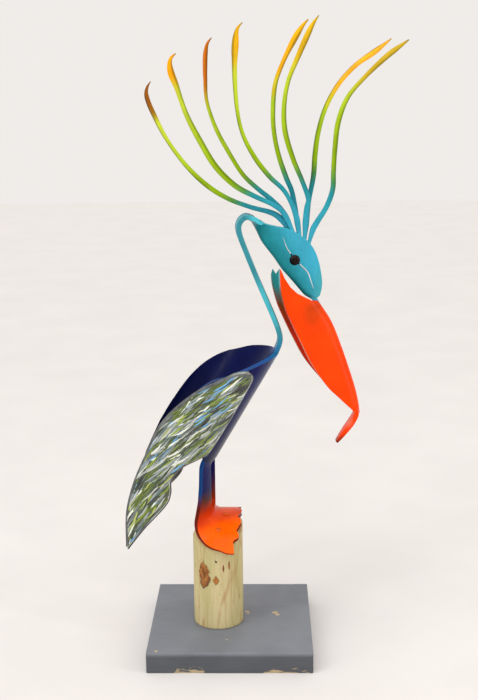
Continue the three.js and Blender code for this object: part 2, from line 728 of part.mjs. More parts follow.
function addPiece(group, name, geometry, material) {
  const mesh = new THREE.Mesh(geometry, material);
  mesh.name = name;
  group.add(mesh);
  return mesh;
}

const group = new THREE.Group();

const board = addPiece(group, 'base_board',
  new THREE.BoxGeometry(BOARD.side, BOARD.side, BOARD.height), finish(COLOURS.board, 0.6));
board.position.z = BOARD.height / 2;

addPiece(group, 'post', toGeometry(makePost()), finish(COLOURS.post, 0.8));
addPiece(group, 'bird_legs_and_foot', toGeometry(makeLegsAndFoot()), finish(COLOURS.legs));

const upperBird = makeUpperBird();
const lowerNeck = upperBird.intersect(lowerNeckBox(NECK_PART.z - GAP / 2));
const aboveBreast = upperBird.subtract(lowerNeckBox(NECK_PART.z + GAP / 2));
const neck = aboveBreast.intersect(neckBox(HEAD_PART.x - GAP / 2));
const head = aboveBreast.subtract(neckBox(HEAD_PART.x + GAP / 2));
addPiece(group, 'bird_body', toGeometry(makeBody().add(lowerNeck)), finish(COLOURS.body));
addPiece(group, 'bird_neck', toGeometry(neck), finish(COLOURS.neck));
addPiece(group, 'bird_head', toGeometry(head), finish(COLOURS.neck));
addPiece(group, 'bird_bill', toGeometry(makeBill()), finish(COLOURS.bill));
CREST.forEach((points, i) => {
  const finger = makeFinger(points).subtract(underCrest(GAP / 2));
  addPiece(group, `bird_crest_${i + 1}`, toGeometry(finger), finish(COLOURS.crest));
});

addPiece(group, 'wing_near', toGeometry(makeWing(1)), finish(COLOURS.wing));
addPiece(group, 'wing_far', toGeometry(makeWing(-1)), finish(COLOURS.wing));
addPiece(group, 'eye_bead', toGeometry(eyeBall(EYE.radius, 8)), finish(COLOURS.eye, 0.1));
for (const seat of SCREW_SEATS) {
  addPiece(group, seat.name, toGeometry(makeScrew(seat)), finish(COLOURS.screw, 0.4));
}

export default group;
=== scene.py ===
"""A folk-art pelican formed from painted drain pipe, on its post and board.

Lengths in this script are millimetres until a mesh is made. +Z is up, +X is
toward the bill and -Y is toward the viewer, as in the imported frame.
"""

import logging
import math
from dataclasses import dataclass
from enum import Enum

import bmesh
import bpy
import numpy as np
from mathutils import Matrix, Vector, noise
from mathutils.kdtree import KDTree


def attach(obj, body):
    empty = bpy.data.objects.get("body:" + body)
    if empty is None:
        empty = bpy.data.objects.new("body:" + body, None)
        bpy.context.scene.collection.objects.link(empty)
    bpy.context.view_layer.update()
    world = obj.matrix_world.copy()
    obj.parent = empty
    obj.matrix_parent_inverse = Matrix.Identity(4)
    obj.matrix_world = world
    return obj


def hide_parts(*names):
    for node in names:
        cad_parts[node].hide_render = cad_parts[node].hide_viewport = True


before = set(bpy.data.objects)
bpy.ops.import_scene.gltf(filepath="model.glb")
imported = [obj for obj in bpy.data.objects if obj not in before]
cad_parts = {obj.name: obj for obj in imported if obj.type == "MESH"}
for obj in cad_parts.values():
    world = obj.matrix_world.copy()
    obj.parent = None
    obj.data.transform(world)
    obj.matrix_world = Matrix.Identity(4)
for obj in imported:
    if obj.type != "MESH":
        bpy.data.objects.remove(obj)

MM = 0.001
LOG = logging.getLogger("pelican")
Colour = tuple[float, float, float]
Point = tuple[float, float, float]


def paint(red: int, green: int, blue: int) -> Colour:
    """Linear colour of a paint as the eye sees it, from 0 to 255 a channel."""
    def linear(value: float) -> float:
        part = value / 255
        return part / 12.92 if part <= 0.04045 else ((part + 0.055) / 1.055) ** 2.4
    return linear(red), linear(green), linear(blue)


def rgba(colour: Colour) -> tuple[float, float, float, float]:
    """The same colour with full cover."""
    return (*colour, 1.0)


# Curves


def smooth_rows(keys: list, count: int) -> np.ndarray:
    """Draws a smooth curve through rows of numbers.

    Args:
        keys: Rows of equal length that the curve passes through.
        count: How many rows to return.
    Returns:
        An array of count rows, evenly spread over the spans between the keys.
    """
    rows = np.array(keys, float)
    padded = np.vstack([rows[:1], rows, rows[-1:]])
    t = np.linspace(0, len(rows) - 1, count)
    k = np.minimum(t.astype(int), len(rows) - 2)
    f = (t - k)[:, None]
    a, b, c, d = (padded[k + n] for n in range(4))
    slope_b, slope_c, rise = (c - a) / 2, (d - b) / 2, c - b
    return b + f * (slope_b + f * (3 * rise - 2 * slope_b - slope_c + f * (slope_b + slope_c - 2 * rise)))


def even_rows(keys: list, count: int) -> np.ndarray:
    """A smooth curve through the keys, as count rows evenly spaced by length."""
    fine = smooth_rows(keys, 24 * len(keys))
    steps = np.linalg.norm(np.diff(fine, axis=0), axis=1)
    travelled = np.concatenate([[0], np.cumsum(steps)])
    wanted = np.linspace(0, travelled[-1], count)
    return np.stack([np.interp(wanted, travelled, column) for column in fine.T], axis=1)


def ease(value: np.ndarray, low: float, high: float) -> np.ndarray:
    """Goes smoothly from 0 at low to 1 at high."""
    t = np.clip((np.asarray(value, float) - low) / (high - low), 0, 1)
    return t * t * (3 - 2 * t)


def fade(first: np.ndarray, second: np.ndarray, share: np.ndarray) -> np.ndarray:
    """Mixes two colours, or arrays of them, by a share for each point."""
    share = np.asarray(share, float)[..., None]
    return np.asarray(first) * (1 - share) + np.asarray(second) * share


def ramp(value: np.ndarray, stops: list) -> np.ndarray:
    """A colour for each value, from stops of (value, colour)."""
    places = [stop[0] for stop in stops]
    colours = np.array([stop[1] for stop in stops])
    return np.stack([np.interp(value, places, colours[:, n]) for n in range(3)], axis=-1)


def wobble(points: np.ndarray, scale: float, seed: float = 0) -> np.ndarray:
    """Slow noise from -1 to 1 for each point, with waves of about scale."""
    flat = points.reshape(-1, 3) / scale + seed
    values = [noise.noise(Vector(p)) for p in flat]
    return np.array(values).reshape(points.shape[:-1])


# Meshes


@dataclass
class Surface:
    """Points in millimetres, faces and a colour for each point."""

    points: np.ndarray
    faces: list
    colours: np.ndarray

    def joined(self, other: "Surface") -> "Surface":
        """Both surfaces as one, side by side."""
        start = len(self.points)
        moved = [tuple(n + start for n in face) for face in other.faces]
        return Surface(
            np.vstack([self.points, other.points]),
            self.faces + moved,
            np.vstack([self.colours, other.colours]),
        )

    def build(self, name: str, smooth_angle: float = 40) -> bpy.types.Object:
        """Makes a mesh object with its faces pointing out.

        Args:
            name: The object's name.
            smooth_angle: Edges sharper than this many degrees stay crisp.
        Returns:
            The new object, in metres, linked to the scene.
        """
        mesh = bpy.data.meshes.new(name)
        mesh.from_pydata((self.points * MM).tolist(), [], self.faces)
        work = bmesh.new()
        work.from_mesh(mesh)
        bmesh.ops.recalc_face_normals(work, faces=work.faces)
        work.to_mesh(mesh)
        work.free()
        write_paint(mesh, self.colours)
        smooth(mesh, smooth_angle)
        piece = bpy.data.objects.new(name, mesh)
        bpy.context.scene.collection.objects.link(piece)
        return piece


def write_paint(mesh: bpy.types.Mesh, colours: np.ndarray) -> None:
    """Stores a colour for each point in the mesh's paint attribute."""
    old = mesh.color_attributes.get("paint")
    if old:
        mesh.color_attributes.remove(old)
    layer = mesh.color_attributes.new("paint", "FLOAT_COLOR", "POINT")
    full = np.ones((len(mesh.vertices), 4))
    full[:, :3] = colours
    layer.data.foreach_set("color", full.ravel())


def smooth(mesh: bpy.types.Mesh, angle: float) -> None:
    """Shades the mesh smooth, with edges over the angle kept sharp."""
    mesh.shade_smooth()
    mesh.set_sharp_from_angle(angle=math.radians(angle))


class Sheet:
    """A wall between an outer and an inner skin, closed by a rounded edge."""

    EDGE_STEPS = (0.02, 0.07, 0.16, 0.32, 0.5, 0.68, 0.84, 0.93, 0.98)
    EDGE_POWER = 3.4

    def __init__(self, edge_round: float) -> None:
        """edge_round is how far the edge bulges past the skins' own border."""
        self.edge_round = edge_round
        self.outer: list = []
        self.inner: list = []
        self.colours: list = []
        self.faces: list = []
        self.known: dict = {}

    def vertex(self, outer: np.ndarray, inner: np.ndarray, colours: tuple) -> int:
        """The number of the vertex at that place, made where it is new."""
        key = tuple(np.round((outer + inner) / 2, 2))
        if key not in self.known:
            self.known[key] = len(self.outer)
            self.outer.append(outer)
            self.inner.append(inner)
            self.colours.append(colours)
        return self.known[key]

    def grid(self, outer: np.ndarray, inner: np.ndarray, colours: tuple) -> None:
        """Adds a grid of wall.

        Args:
            outer: Points of the outer skin, as rows by columns by 3.
            inner: Points of the inner skin, of the same size.
            colours: The outer skin's, inner skin's and edge's colours, each a
                grid like the points or one colour.
        """
        rows, columns = outer.shape[:2]
        spread = [np.broadcast_to(colour, outer.shape) for colour in colours]
        numbers = [
            [
                self.vertex(outer[i, j], inner[i, j], tuple(part[i, j] for part in spread))
                for j in range(columns)
            ]
            for i in range(rows)
        ]
        for i in range(rows - 1):
            for j in range(columns - 1):
                a, b = numbers[i][j], numbers[i][j + 1]
                c, d = numbers[i + 1][j + 1], numbers[i + 1][j]
                if len({a, b, c, d}) == 4:
                    self.faces.append((a, b, c, d))

    def border(self) -> list:
        """The loops of vertices along the wall's edge."""
        directed = {pair for face in self.faces for pair in zip(face, face[1:] + face[:1])}
        following = {a: b for a, b in directed if (b, a) not in directed}
        loops = []
        while following:
            start = next(iter(following))
            loop = [start]
            step = following.pop(start)
            while step != start:
                loop.append(step)
                step = following.pop(step)
            loops.append(loop)
        return loops

    def closed(self) -> Surface:
        """The wall as one closed surface."""
        outer, inner = np.array(self.outer), np.array(self.inner)
        colours = np.array(self.colours)
        count = len(outer)
        points, paints, faces = [outer, inner], [colours[:, 0], colours[:, 1]], list(self.faces)
        faces += [tuple(n + count for n in reversed(face)) for face in self.faces]
        start = 2 * count
        for loop in self.border():
            ring = np.array(loop)
            middle = (outer[ring] + inner[ring]) / 2
            along = np.roll(middle, -1, axis=0) - np.roll(middle, 1, axis=0)
            outward = np.cross(along, inner[ring] - outer[ring])
            outward /= np.linalg.norm(outward, axis=1)[:, None] + 1e-9
            outer[ring] -= outward * self.edge_round
            inner[ring] -= outward * self.edge_round
            rings = [ring]
            for step in self.EDGE_STEPS:
                bulge = (1 - abs(2 * step - 1) ** self.EDGE_POWER) ** (1 / self.EDGE_POWER)
                place = outer[ring] + (inner[ring] - outer[ring]) * step
                points.append(place + outward * self.edge_round * bulge)
                paints.append(colours[ring, 2])
                rings.append(start + np.arange(len(ring)))
                start += len(ring)
            rings.append(ring + count)
            for first, second in zip(rings, rings[1:]):
                for n in range(len(ring)):
                    m = (n + 1) % len(ring)
                    faces.append((int(first[m]), int(first[n]), int(second[n]), int(second[m])))
        return Surface(np.vstack(points), faces, np.vstack(paints))


def prism(outline: list, axis: str, start: float, end: float, drop: float = 0) -> Surface:
    """A flat outline extruded along an axis, for cutting.

    Args:
        outline: Points in the other two axes, in the order of their letters.
        axis: "X", "Y" or "Z".
        start: Where the prism starts on the axis.
        end: Where it ends.
        drop: How much it falls for each millimetre along Y.
    Returns:
        The closed prism.
    """
    flat = np.array(outline, float)
    ends = [np.insert(flat, "XYZ".index(axis), value, axis=1) for value in (start, end)]
    points = np.vstack(ends)
    points[:, 2] -= drop * (points[:, 1] - PIPE.centre_y) if drop else 0
    count = len(flat)
    sides = [(n, (n + 1) % count, (n + 1) % count + count, n + count) for n in range(count)]
    faces = [tuple(range(count)), tuple(range(2 * count - 1, count - 1, -1)), *sides]
    return Surface(points, faces, np.zeros_like(points))


def combine(piece: bpy.types.Object, other: bpy.types.Object, how: str) -> None:
    """Joins another closed mesh to the piece, or cuts the piece with it.

    Args:
        piece: The object that is changed.
        other: The object that is used up.
        how: "UNION", "DIFFERENCE" or "INTERSECT".
    """
    step = piece.modifiers.new(how.lower(), "BOOLEAN")
    step.operation = how
    step.solver = "MANIFOLD"
    step.object = other
    settle(piece)
    bpy.data.objects.remove(other)


def settle(piece: bpy.types.Object) -> None:
    """Turns what the piece's modifiers make into its own plain mesh."""
    bpy.context.view_layer.update()
    seen = piece.evaluated_get(bpy.context.evaluated_depsgraph_get())
    mesh = bpy.data.meshes.new_from_object(seen)
    mesh.name = piece.name
    piece.modifiers.clear()
    piece.data = mesh


# Node trees


class Tree:
    """Builds a shader or geometry node tree in few words."""

    def __init__(self, tree: bpy.types.NodeTree) -> None:
        """Starts from an existing tree."""
        self.tree = tree

    def node(self, kind: str, inputs: dict | None = None, **settings) -> bpy.types.Node:
        """Adds a node.

        Args:
            kind: Its type.
            inputs: Values or sockets for its inputs, by name or number.
            settings: Its own properties.
        Returns:
            The node.
        """
        made = self.tree.nodes.new(kind)
        for key, value in settings.items():
            setattr(made, key, value)
        for key, value in (inputs or {}).items():
            self.feed(made.inputs[key], value)
        return made

    def feed(self, socket: bpy.types.NodeSocket, value) -> None:
        """Links a socket into an input, or sets the input's value."""
        if isinstance(value, bpy.types.NodeSocket):
            self.tree.links.new(value, socket)
        else:
            socket.default_value = value

    def math(self, how: str, *values, clamp: bool = False) -> bpy.types.NodeSocket:
        """A number worked out from one, two or three others."""
        inputs = dict(enumerate(values))
        return self.node("ShaderNodeMath", inputs, operation=how, use_clamp=clamp).outputs[0]

    def vector(self, how: str, *values) -> bpy.types.NodeSocket:
        """A vector worked out from others."""
        made = self.node("ShaderNodeVectorMath", operation=how)
        for n, value in enumerate(values):
            self.feed(made.inputs["Scale" if how == "SCALE" and n == 1 else n], value)
        return made.outputs["Value" if how in ("LENGTH", "DOT_PRODUCT", "DISTANCE") else "Vector"]

    def parts(self, vector: bpy.types.NodeSocket) -> list:
        """The x, y and z of a vector."""
        return list(self.node("ShaderNodeSeparateXYZ", {0: vector}).outputs)

    def together(self, x, y, z) -> bpy.types.NodeSocket:
        """A vector from its x, y and z."""
        return self.node("ShaderNodeCombineXYZ", {0: x, 1: y, 2: z}).outputs[0]

    def spread(self, value, low, high, to_low=0.0, to_high=1.0) -> bpy.types.NodeSocket:
        """Maps a number smoothly from one range to another."""
        inputs = {"Value": value, "From Min": low, "From Max": high, "To Min": to_low, "To Max": to_high}
        return self.node("ShaderNodeMapRange", inputs, interpolation_type="SMOOTHSTEP").outputs[0]


class ShaderTree(Tree):
    """A material's nodes, with the surface's patterns by name."""

    def __init__(self, name: str) -> None:
        """Makes the material with its one shader."""
        self.material = bpy.data.materials.new(name)
        self.material.use_nodes = True
        super().__init__(self.material.node_tree)
        self.shader = self.tree.nodes["Principled BSDF"]
        self.place = self.node("ShaderNodeTexCoord").outputs["Object"]

    def scaled(self, x: float, y: float, z: float, source=None) -> bpy.types.NodeSocket:
        """Coordinates in millimetres, stretched by a factor along each axis."""
        scale = (x / MM, y / MM, z / MM)
        return self.node("ShaderNodeMapping", {"Vector": source or self.place, "Scale": scale}).outputs[0]

    def noise(self, place, scale: float, detail: float = 3, rough: float = 0.55) -> bpy.types.NodeSocket:
        """Noise from 0 to 1."""
        inputs = {"Vector": place, "Scale": scale, "Detail": detail, "Roughness": rough}
        return self.node("ShaderNodeTexNoise", inputs).outputs[0]

    def mix(self, share, first, second, how: str = "MIX") -> bpy.types.NodeSocket:
        """Mixes two colours."""
        made = self.node("ShaderNodeMix", data_type="RGBA", blend_type=how)
        for name, value in (("Factor_Float", share), ("A_Color", first), ("B_Color", second)):
            socket = next(s for s in made.inputs if s.identifier == name)
            self.feed(socket, rgba(value) if isinstance(value, tuple) and len(value) == 3 else value)
        return next(s for s in made.outputs if s.identifier == "Result_Color")

    def stops(self, value, colours: list, how: str = "LINEAR") -> bpy.types.NodeSocket:
        """A colour ramp from stops of (place, colour)."""
        made = self.node("ShaderNodeValToRGB", {0: value})
        band = made.color_ramp
        band.interpolation = how
        while len(band.elements) < len(colours):
            band.elements.new(1)
        for element, (place, colour) in zip(band.elements, colours):
            element.position = place
            element.color = rgba(colour)
        return made.outputs[0]

    def bump(self, height, strength: float, distance: float, under=None) -> bpy.types.NodeSocket:
        """A bump of that many millimetres, on top of another if one is given."""
        inputs = {"Height": height, "Strength": strength, "Distance": distance * MM}
        if under is not None:
            inputs["Normal"] = under
        return self.node("ShaderNodeBump", inputs).outputs[0]

    def finish(self, **inputs) -> bpy.types.Material:
        """Sets the shader's inputs and returns the material."""
        for name, value in inputs.items():
            socket = self.shader.inputs[name.replace("_", " ").title().replace("Ior", "IOR")]
            self.feed(socket, rgba(value) if isinstance(value, tuple) and len(value) == 3 else value)
        return self.material


# Finishes


@dataclass(frozen=True)
class GlossPaint:
    """Airbrushed gloss paint on plastic, with its colours in the paint attribute."""

    name: str = "gloss_paint"
    shine: float = 0.08
    roughness: float = 0.24
    dust: Colour = paint(170, 175, 175)

    def material(self) -> bpy.types.Material:
        """Builds the material."""
        tree = ShaderTree(self.name)
        base = tree.node("ShaderNodeVertexColor", layer_name="paint").outputs["Color"]
        place = tree.scaled(1, 1, 1)
        cloud = tree.noise(place, 0.025, 4)
        streak = tree.noise(tree.scaled(1, 1, 0.16), 0.22, 4, 0.6)
        speck = tree.noise(place, 1.3, 2)
        value = tree.math("ADD", tree.spread(cloud, 0.3, 0.7, 0.86, 1.08), tree.spread(streak, 0.2, 0.8, -0.05, 0.05))
        shaded = tree.vector("SCALE", base, value)
        dusted = tree.mix(tree.spread(speck, 0.62, 0.8, 0, 0.05), shaded, self.dust)
        rough = tree.math("ADD", tree.spread(cloud, 0.3, 0.7, self.roughness - 0.05, self.roughness + 0.06),
                          tree.spread(speck, 0.5, 0.8, 0, 0.08))
        peel = tree.bump(tree.noise(place, 0.35, 2), 0.25, 0.03)
        waves = tree.bump(tree.noise(place, 0.05, 2), 0.5, 0.35, peel)
        return tree.finish(base_color=dusted, roughness=rough, normal=waves, specular_ior_level=self.shine)


@dataclass(frozen=True)
class BoardPaint:
    """Grey paint on a plank, worn to bare wood along the lower front edge."""

    name: str = "worn_board_paint"
    grey: Colour = paint(112, 116, 123)
    dark: Colour = paint(101, 105, 112)
    bare: Colour = paint(196, 176, 142)
    grain: Colour = paint(170, 144, 106)
    half: float = 143.0
    top: float = 38.0

    # Worn stretches of the front edge as x from and to and their height.
    WORN = ((-94, -43, 9), (58, 136, 7))
    # Chips in the top as x, y and radius.
    CHIPS = ((29, 18, 2.8), (30, 12, 2.2), (79, 15, 4.2), (83, 8, 4.6), (-125, -137, 2.6), (-6, -92, 1.1))

    def material(self) -> bpy.types.Material:
        """Builds the material."""
        tree = ShaderTree(self.name)
        place = tree.scaled(1, 1, 1)
        x, y, z = tree.parts(place)
        streak = tree.noise(tree.scaled(0.06, 1, 1), 0.35, 4, 0.62)
        cloud = tree.noise(place, 0.012, 3)
        fine = tree.noise(place, 0.6, 3)
        colour = tree.mix(tree.spread(streak, 0.25, 0.75), self.dark, self.grey)
        colour = tree.mix(tree.spread(cloud, 0.35, 0.75, 0, 0.35), colour, paint(132, 135, 140))
        # Painted shade: the sides darken below the top edge, to about half brightness.
        side_shade = tree.spread(tree.math("ADD", z, tree.spread(fine, 0.2, 0.8, -1, 1)), self.top - 2, self.top - 9, 1.0, 0.46)
        colour = tree.vector("SCALE", colour, side_shade)
        ragged = tree.noise(tree.scaled(0.16, 1, 1), 0.3, 5, 0.62)
        worn = 0.0
        front = tree.spread(y, -self.half + 9, -self.half + 2)
        for start, end, height in self.WORN:
            inside = tree.math("MULTIPLY", tree.spread(x, start - 4, start + 6), tree.spread(x, end + 4, end - 6))
            reach = tree.math("MULTIPLY", tree.spread(ragged, 0.38, 0.66, 0, height * 1.6), inside)
            low = tree.spread(tree.math("SUBTRACT", reach, z), 0.0, 2.4, 0.0, 0.85)
            worn = tree.math("MAXIMUM", worn, tree.math("MULTIPLY", low, front))
        torn = tree.spread(tree.noise(place, 0.2, 3), 0.3, 0.7, -2.6, 2.6)
        for cx, cy, radius in self.CHIPS:
            away = tree.vector("DISTANCE", tree.together(x, y, 0.0), (cx, cy, 0))
            ring = tree.math("ADD", away, torn)
            chip = tree.math("MULTIPLY", tree.math("LESS_THAN", ring, radius), tree.math("GREATER_THAN", z, self.top / 2))
            worn = tree.math("MAXIMUM", worn, chip)
        fibre = tree.noise(tree.scaled(0.03, 1, 1), 0.9, 3)
        wood = tree.mix(tree.spread(fibre, 0.35, 0.7), self.bare, self.grain)
        colour = tree.mix(worn, colour, wood)
        brushed = tree.bump(streak, 0.4, 0.35)
        chipped = tree.bump(tree.math("SUBTRACT", 1.0, worn), 0.8, 0.4, brushed)
        rough = tree.spread(streak, 0.2, 0.8, 0.46, 0.62)
        return tree.finish(base_color=colour, roughness=tree.math("MAXIMUM", rough, tree.math("MULTIPLY", worn, 0.85)),
                           normal=chipped, specular_ior_level=0.4)


@dataclass(frozen=True)
class TreatedPine:
    """Bare pressure treated pine with growth rings, knots and weather streaks."""

    name: str = "treated_pine"
    pale: Colour = paint(200, 187, 142)
    tan: Colour = paint(172, 142, 92)
    green: Colour = paint(178, 172, 118)
    knot: Colour = paint(170, 112, 54)
    rim: Colour = paint(70, 40, 20)
    streak: Colour = paint(166, 130, 82)
    centre: Point = (-22.5, -10.0, 0.0)
    pith: Point = (-32.0, 4.0, 0.0)
    radius: float = 44.25

    # Tan streaks on the viewer's side: x at the foot, how far it leans with z, and half width.
    STREAKS = ((-28.0, 0.22, 4.2), (15.5, 0.01, 2.2), (-57.0, 0.03, 2.5))
    # Knots as the turn round the post from the viewer's side, z, half width and half height.
    KNOTS = ((-33, 139, 12, 25), (-4, 131, 5, 8), (14, 153, 1.6, 7), (28, 157, 1.8, 9), (118, 150, 7, 10), (-120, 92, 8, 12), (176, 168, 5, 7))

    def material(self) -> bpy.types.Material:
        """Builds the material."""
        tree = ShaderTree(self.name)
        place = tree.scaled(1, 1, 1)
        warp = tree.noise(tree.scaled(1, 1, 0.12), 0.03, 2)
        away = tree.vector("MULTIPLY", tree.vector("SUBTRACT", place, self.pith), (1.0, 1.0, 0.03))
        rings = tree.math("ADD", tree.vector("LENGTH", away), tree.spread(warp, 0.2, 0.8, -9, 9))
        ragged = tree.noise(place, 0.12, 3)
        knots, rims = 0.0, 0.0
        for turn, z, wide, high in self.KNOTS:
            angle = math.radians(turn)
            side = Vector((math.cos(angle), math.sin(angle), 0))
            out = Vector((math.sin(angle), -math.cos(angle), 0))
            middle = Vector(self.centre) + out * self.radius + Vector((0, 0, z))
            offset = tree.vector("SUBTRACT", place, tuple(middle))
            across = tree.math("DIVIDE", tree.vector("DOT_PRODUCT", offset, tuple(side)), wide)
            above = tree.math("DIVIDE", tree.parts(offset)[2], high)
            deep = tree.math("ABSOLUTE", tree.math("DIVIDE", tree.vector("DOT_PRODUCT", offset, tuple(out)), 24.0))
            lens = tree.math("ADD", tree.math("ABSOLUTE", across), tree.math("MULTIPLY", above, above))
            size = tree.math("ADD", lens, deep)
            size = tree.math("ADD", size, tree.spread(ragged, 0.25, 0.75, -0.28, 0.28))
            rings = tree.math("ADD", rings, tree.spread(size, 2.6, 0.4, 0, 11))
            knots = tree.math("MAXIMUM", knots, tree.spread(size, 1.04, 0.90))
            edge = tree.math("ABSOLUTE", tree.math("SUBTRACT", size, 1.0))
            low = tree.spread(above, 0.3, -0.7, 0.5, 1.3)
            rims = tree.math("MAXIMUM", rims, tree.math("MULTIPLY", tree.spread(edge, 0.2, 0.03), low))
            rims = tree.math("MAXIMUM", rims, tree.spread(lens, 0.16, 0.06))
        wave = tree.math("SINE", tree.math("MULTIPLY", rings, 1.15))
        late = tree.spread(wave, 0.15, 0.98)
        fibre = tree.noise(tree.scaled(1, 1, 0.03), 1.1, 3, 0.6)
        stain = tree.noise(tree.scaled(1, 1, 0.2), 0.035, 3)
        broad = tree.noise(tree.scaled(1, 1, 0.14), 0.055, 3, 0.5)
        band = tree.math("MULTIPLY", tree.spread(broad, 0.46, 0.62), tree.spread(late, 0, 1, 0.3, 1))
        colour = tree.mix(tree.spread(band, 0, 1, 0, 0.8), self.pale, self.tan)
        colour = tree.mix(tree.spread(late, 0, 1, 0, 0.22), colour, self.tan)
        colour = tree.mix(tree.spread(stain, 0.38, 0.68, 0, 0.7), colour, self.green)
        colour = tree.mix(tree.spread(fibre, 0.3, 0.75, 0, 0.3), colour, self.tan)
        x, y, z = tree.parts(place)
        front = tree.math("LESS_THAN", y, self.centre[1])
        broken = tree.spread(tree.noise(tree.scaled(1, 1, 0.3), 0.12, 3), 0.36, 0.6, 0.25, 1.0)
        for low, slope, wide in self.STREAKS:
            line = tree.math("ADD", tree.math("MULTIPLY_ADD", z, slope, low), tree.spread(warp, 0.2, 0.8, -9, 9))
            off = tree.math("ABSOLUTE", tree.math("SUBTRACT", x, line))
            share = tree.math("MULTIPLY", tree.spread(off, wide, 0.0, 0, 0.62), tree.math("MULTIPLY", front, broken))
            colour = tree.mix(share, colour, self.streak)
        pits = tree.noise(tree.scaled(1, 1, 0.3), 0.3, 2)
        colour = tree.mix(tree.spread(pits, 0.70, 0.76, 0, 0.6), colour, self.rim)
        heart = tree.mix(tree.spread(tree.noise(tree.scaled(1, 1, 0.6), 0.16, 3), 0.35, 0.65), self.knot, paint(122, 72, 32))
        colour = tree.mix(knots, colour, heart)
        colour = tree.mix(tree.math("MULTIPLY", rims, 0.65), colour, self.rim)
        grained = tree.bump(fibre, 0.5, 0.45)
        raised = tree.bump(late, 0.45, 0.35, grained)
        return tree.finish(base_color=colour, roughness=tree.spread(fibre, 0.2, 0.8, 0.62, 0.85), normal=raised,
                           specular_ior_level=0.3)


@dataclass(frozen=True)
class FeatherPaint:
    """Brush strokes of many colours, picked by each stroke's own tone."""

    name: str = "feather_strokes"

    STROKES = (
        (0.00, paint(52, 66, 48)), (0.12, paint(88, 106, 16)), (0.27, paint(126, 146, 34)), (0.37, paint(22, 26, 26)),
        (0.46, paint(112, 120, 118)), (0.58, paint(156, 163, 160)), (0.70, paint(220, 224, 214)),
        (0.84, paint(104, 162, 204)), (0.90, paint(84, 104, 98)), (0.95, paint(164, 174, 92)),
    )

    def material(self) -> bpy.types.Material:
        """Builds the material."""
        tree = ShaderTree(self.name)
        tone = tree.node("ShaderNodeAttribute", attribute_name="tone").outputs["Fac"]
        shade = tree.node("ShaderNodeAttribute", attribute_name="shade").outputs["Fac"]
        colour = tree.stops(tone, list(self.STROKES), "CONSTANT")
        place = tree.scaled(1, 1, 1)
        sway = tree.node("ShaderNodeAttribute", attribute_name="across").outputs["Fac"]
        lane = tree.together(tree.math("MULTIPLY", sway, 3.2), tree.math("MULTIPLY", tone, 90.0), tree.parts(place)[2])
        bristle = tree.noise(tree.vector("MULTIPLY", lane, (1.0, 1.0, 0.05)), 1.0, 4, 0.65)
        value = tree.math("ADD", tree.spread(shade, 0, 1, 0.72, 1.18), tree.spread(bristle, 0.25, 0.75, -0.22, 0.22))
        second = tree.stops(tree.math("FRACT", tree.math("ADD", tone, 0.21)), list(self.STROKES), "CONSTANT")
        streak = tree.noise(tree.vector("MULTIPLY", lane, (0.8, 1.0, 0.03)), 0.7, 2, 0.5)
        colour = tree.mix(tree.spread(streak, 0.56, 0.64, 0, 0.6), colour, second)
        streaked = tree.vector("SCALE", colour, value)
        ridge = tree.bump(bristle, 0.5, 0.3)
        fine = tree.bump(tree.noise(place, 0.9, 2), 0.3, 0.08, ridge)
        return tree.finish(base_color=streaked, roughness=tree.spread(bristle, 0.2, 0.8, 0.26, 0.42), normal=fine,
                           coat_weight=0.35, coat_roughness=0.12, specular_ior_level=0.5)


@dataclass(frozen=True)
class WingGround:
    """The paint under the strokes, broken into soft patches."""

    name: str = "wing_ground"

    def material(self) -> bpy.types.Material:
        """Builds the material."""
        tree = ShaderTree(self.name)
        base = tree.node("ShaderNodeVertexColor", layer_name="paint").outputs["Color"]
        patch = tree.noise(tree.scaled(1.4, 1, 0.8), 0.07, 4, 0.6)
        fine = tree.noise(tree.scaled(1, 1, 1), 0.5, 3)
        colour = tree.mix(tree.spread(patch, 0.4, 0.62), base, tree.vector("SCALE", base, 0.55))
        value = tree.spread(fine, 0.25, 0.75, 0.85, 1.15)
        peel = tree.bump(fine, 0.35, 0.15)
        return tree.finish(base_color=tree.vector("SCALE", colour, value), roughness=tree.spread(fine, 0.2, 0.8, 0.28, 0.42),
                           normal=peel, coat_weight=0.35, coat_roughness=0.12)


@dataclass(frozen=True)
class BeadGloss:
    """Deep brown black glass."""

    name: str = "bead_gloss"

    def material(self) -> bpy.types.Material:
        """Builds the material."""
        tree = ShaderTree(self.name)
        swirl = tree.noise(tree.scaled(1, 1, 1), 0.16, 3)
        colour = tree.mix(tree.spread(swirl, 0.4, 0.7), paint(10, 5, 4), paint(44, 22, 14))
        return tree.finish(base_color=colour, roughness=tree.spread(swirl, 0.3, 0.7, 0.06, 0.12), specular_ior_level=0.12)


@dataclass(frozen=True)
class FloorFinish:
    """A pale matt floor."""

    name: str = "pale_floor"

    def material(self) -> bpy.types.Material:
        """Builds the material."""
        tree = ShaderTree(self.name)
        cloud = tree.noise(tree.scaled(1, 1, 1), 0.004, 4)
        colour = tree.mix(tree.spread(cloud, 0.3, 0.7), paint(211, 208, 205), paint(215, 212, 209))
        return tree.finish(base_color=colour, roughness=tree.spread(cloud, 0.3, 0.7, 0.72, 0.82))


class Finish(Enum):
    """The finishes on the statue."""

    GLOSS = GlossPaint()
    BOARD = BoardPaint()
    PINE = TreatedPine()
    STROKES = FeatherPaint()
    GROUND = WingGround()
    BEAD = BeadGloss()
    FLOOR = FloorFinish()

    def material(self) -> bpy.types.Material:
        """The finish's material, made once."""
        return bpy.data.materials.get(self.value.name) or self.value.material()


def dress(piece: bpy.types.Object, finish: Finish) -> None:
    """Gives the piece one finish all over."""
    piece.data.materials.clear()
    piece.data.materials.append(finish.material())


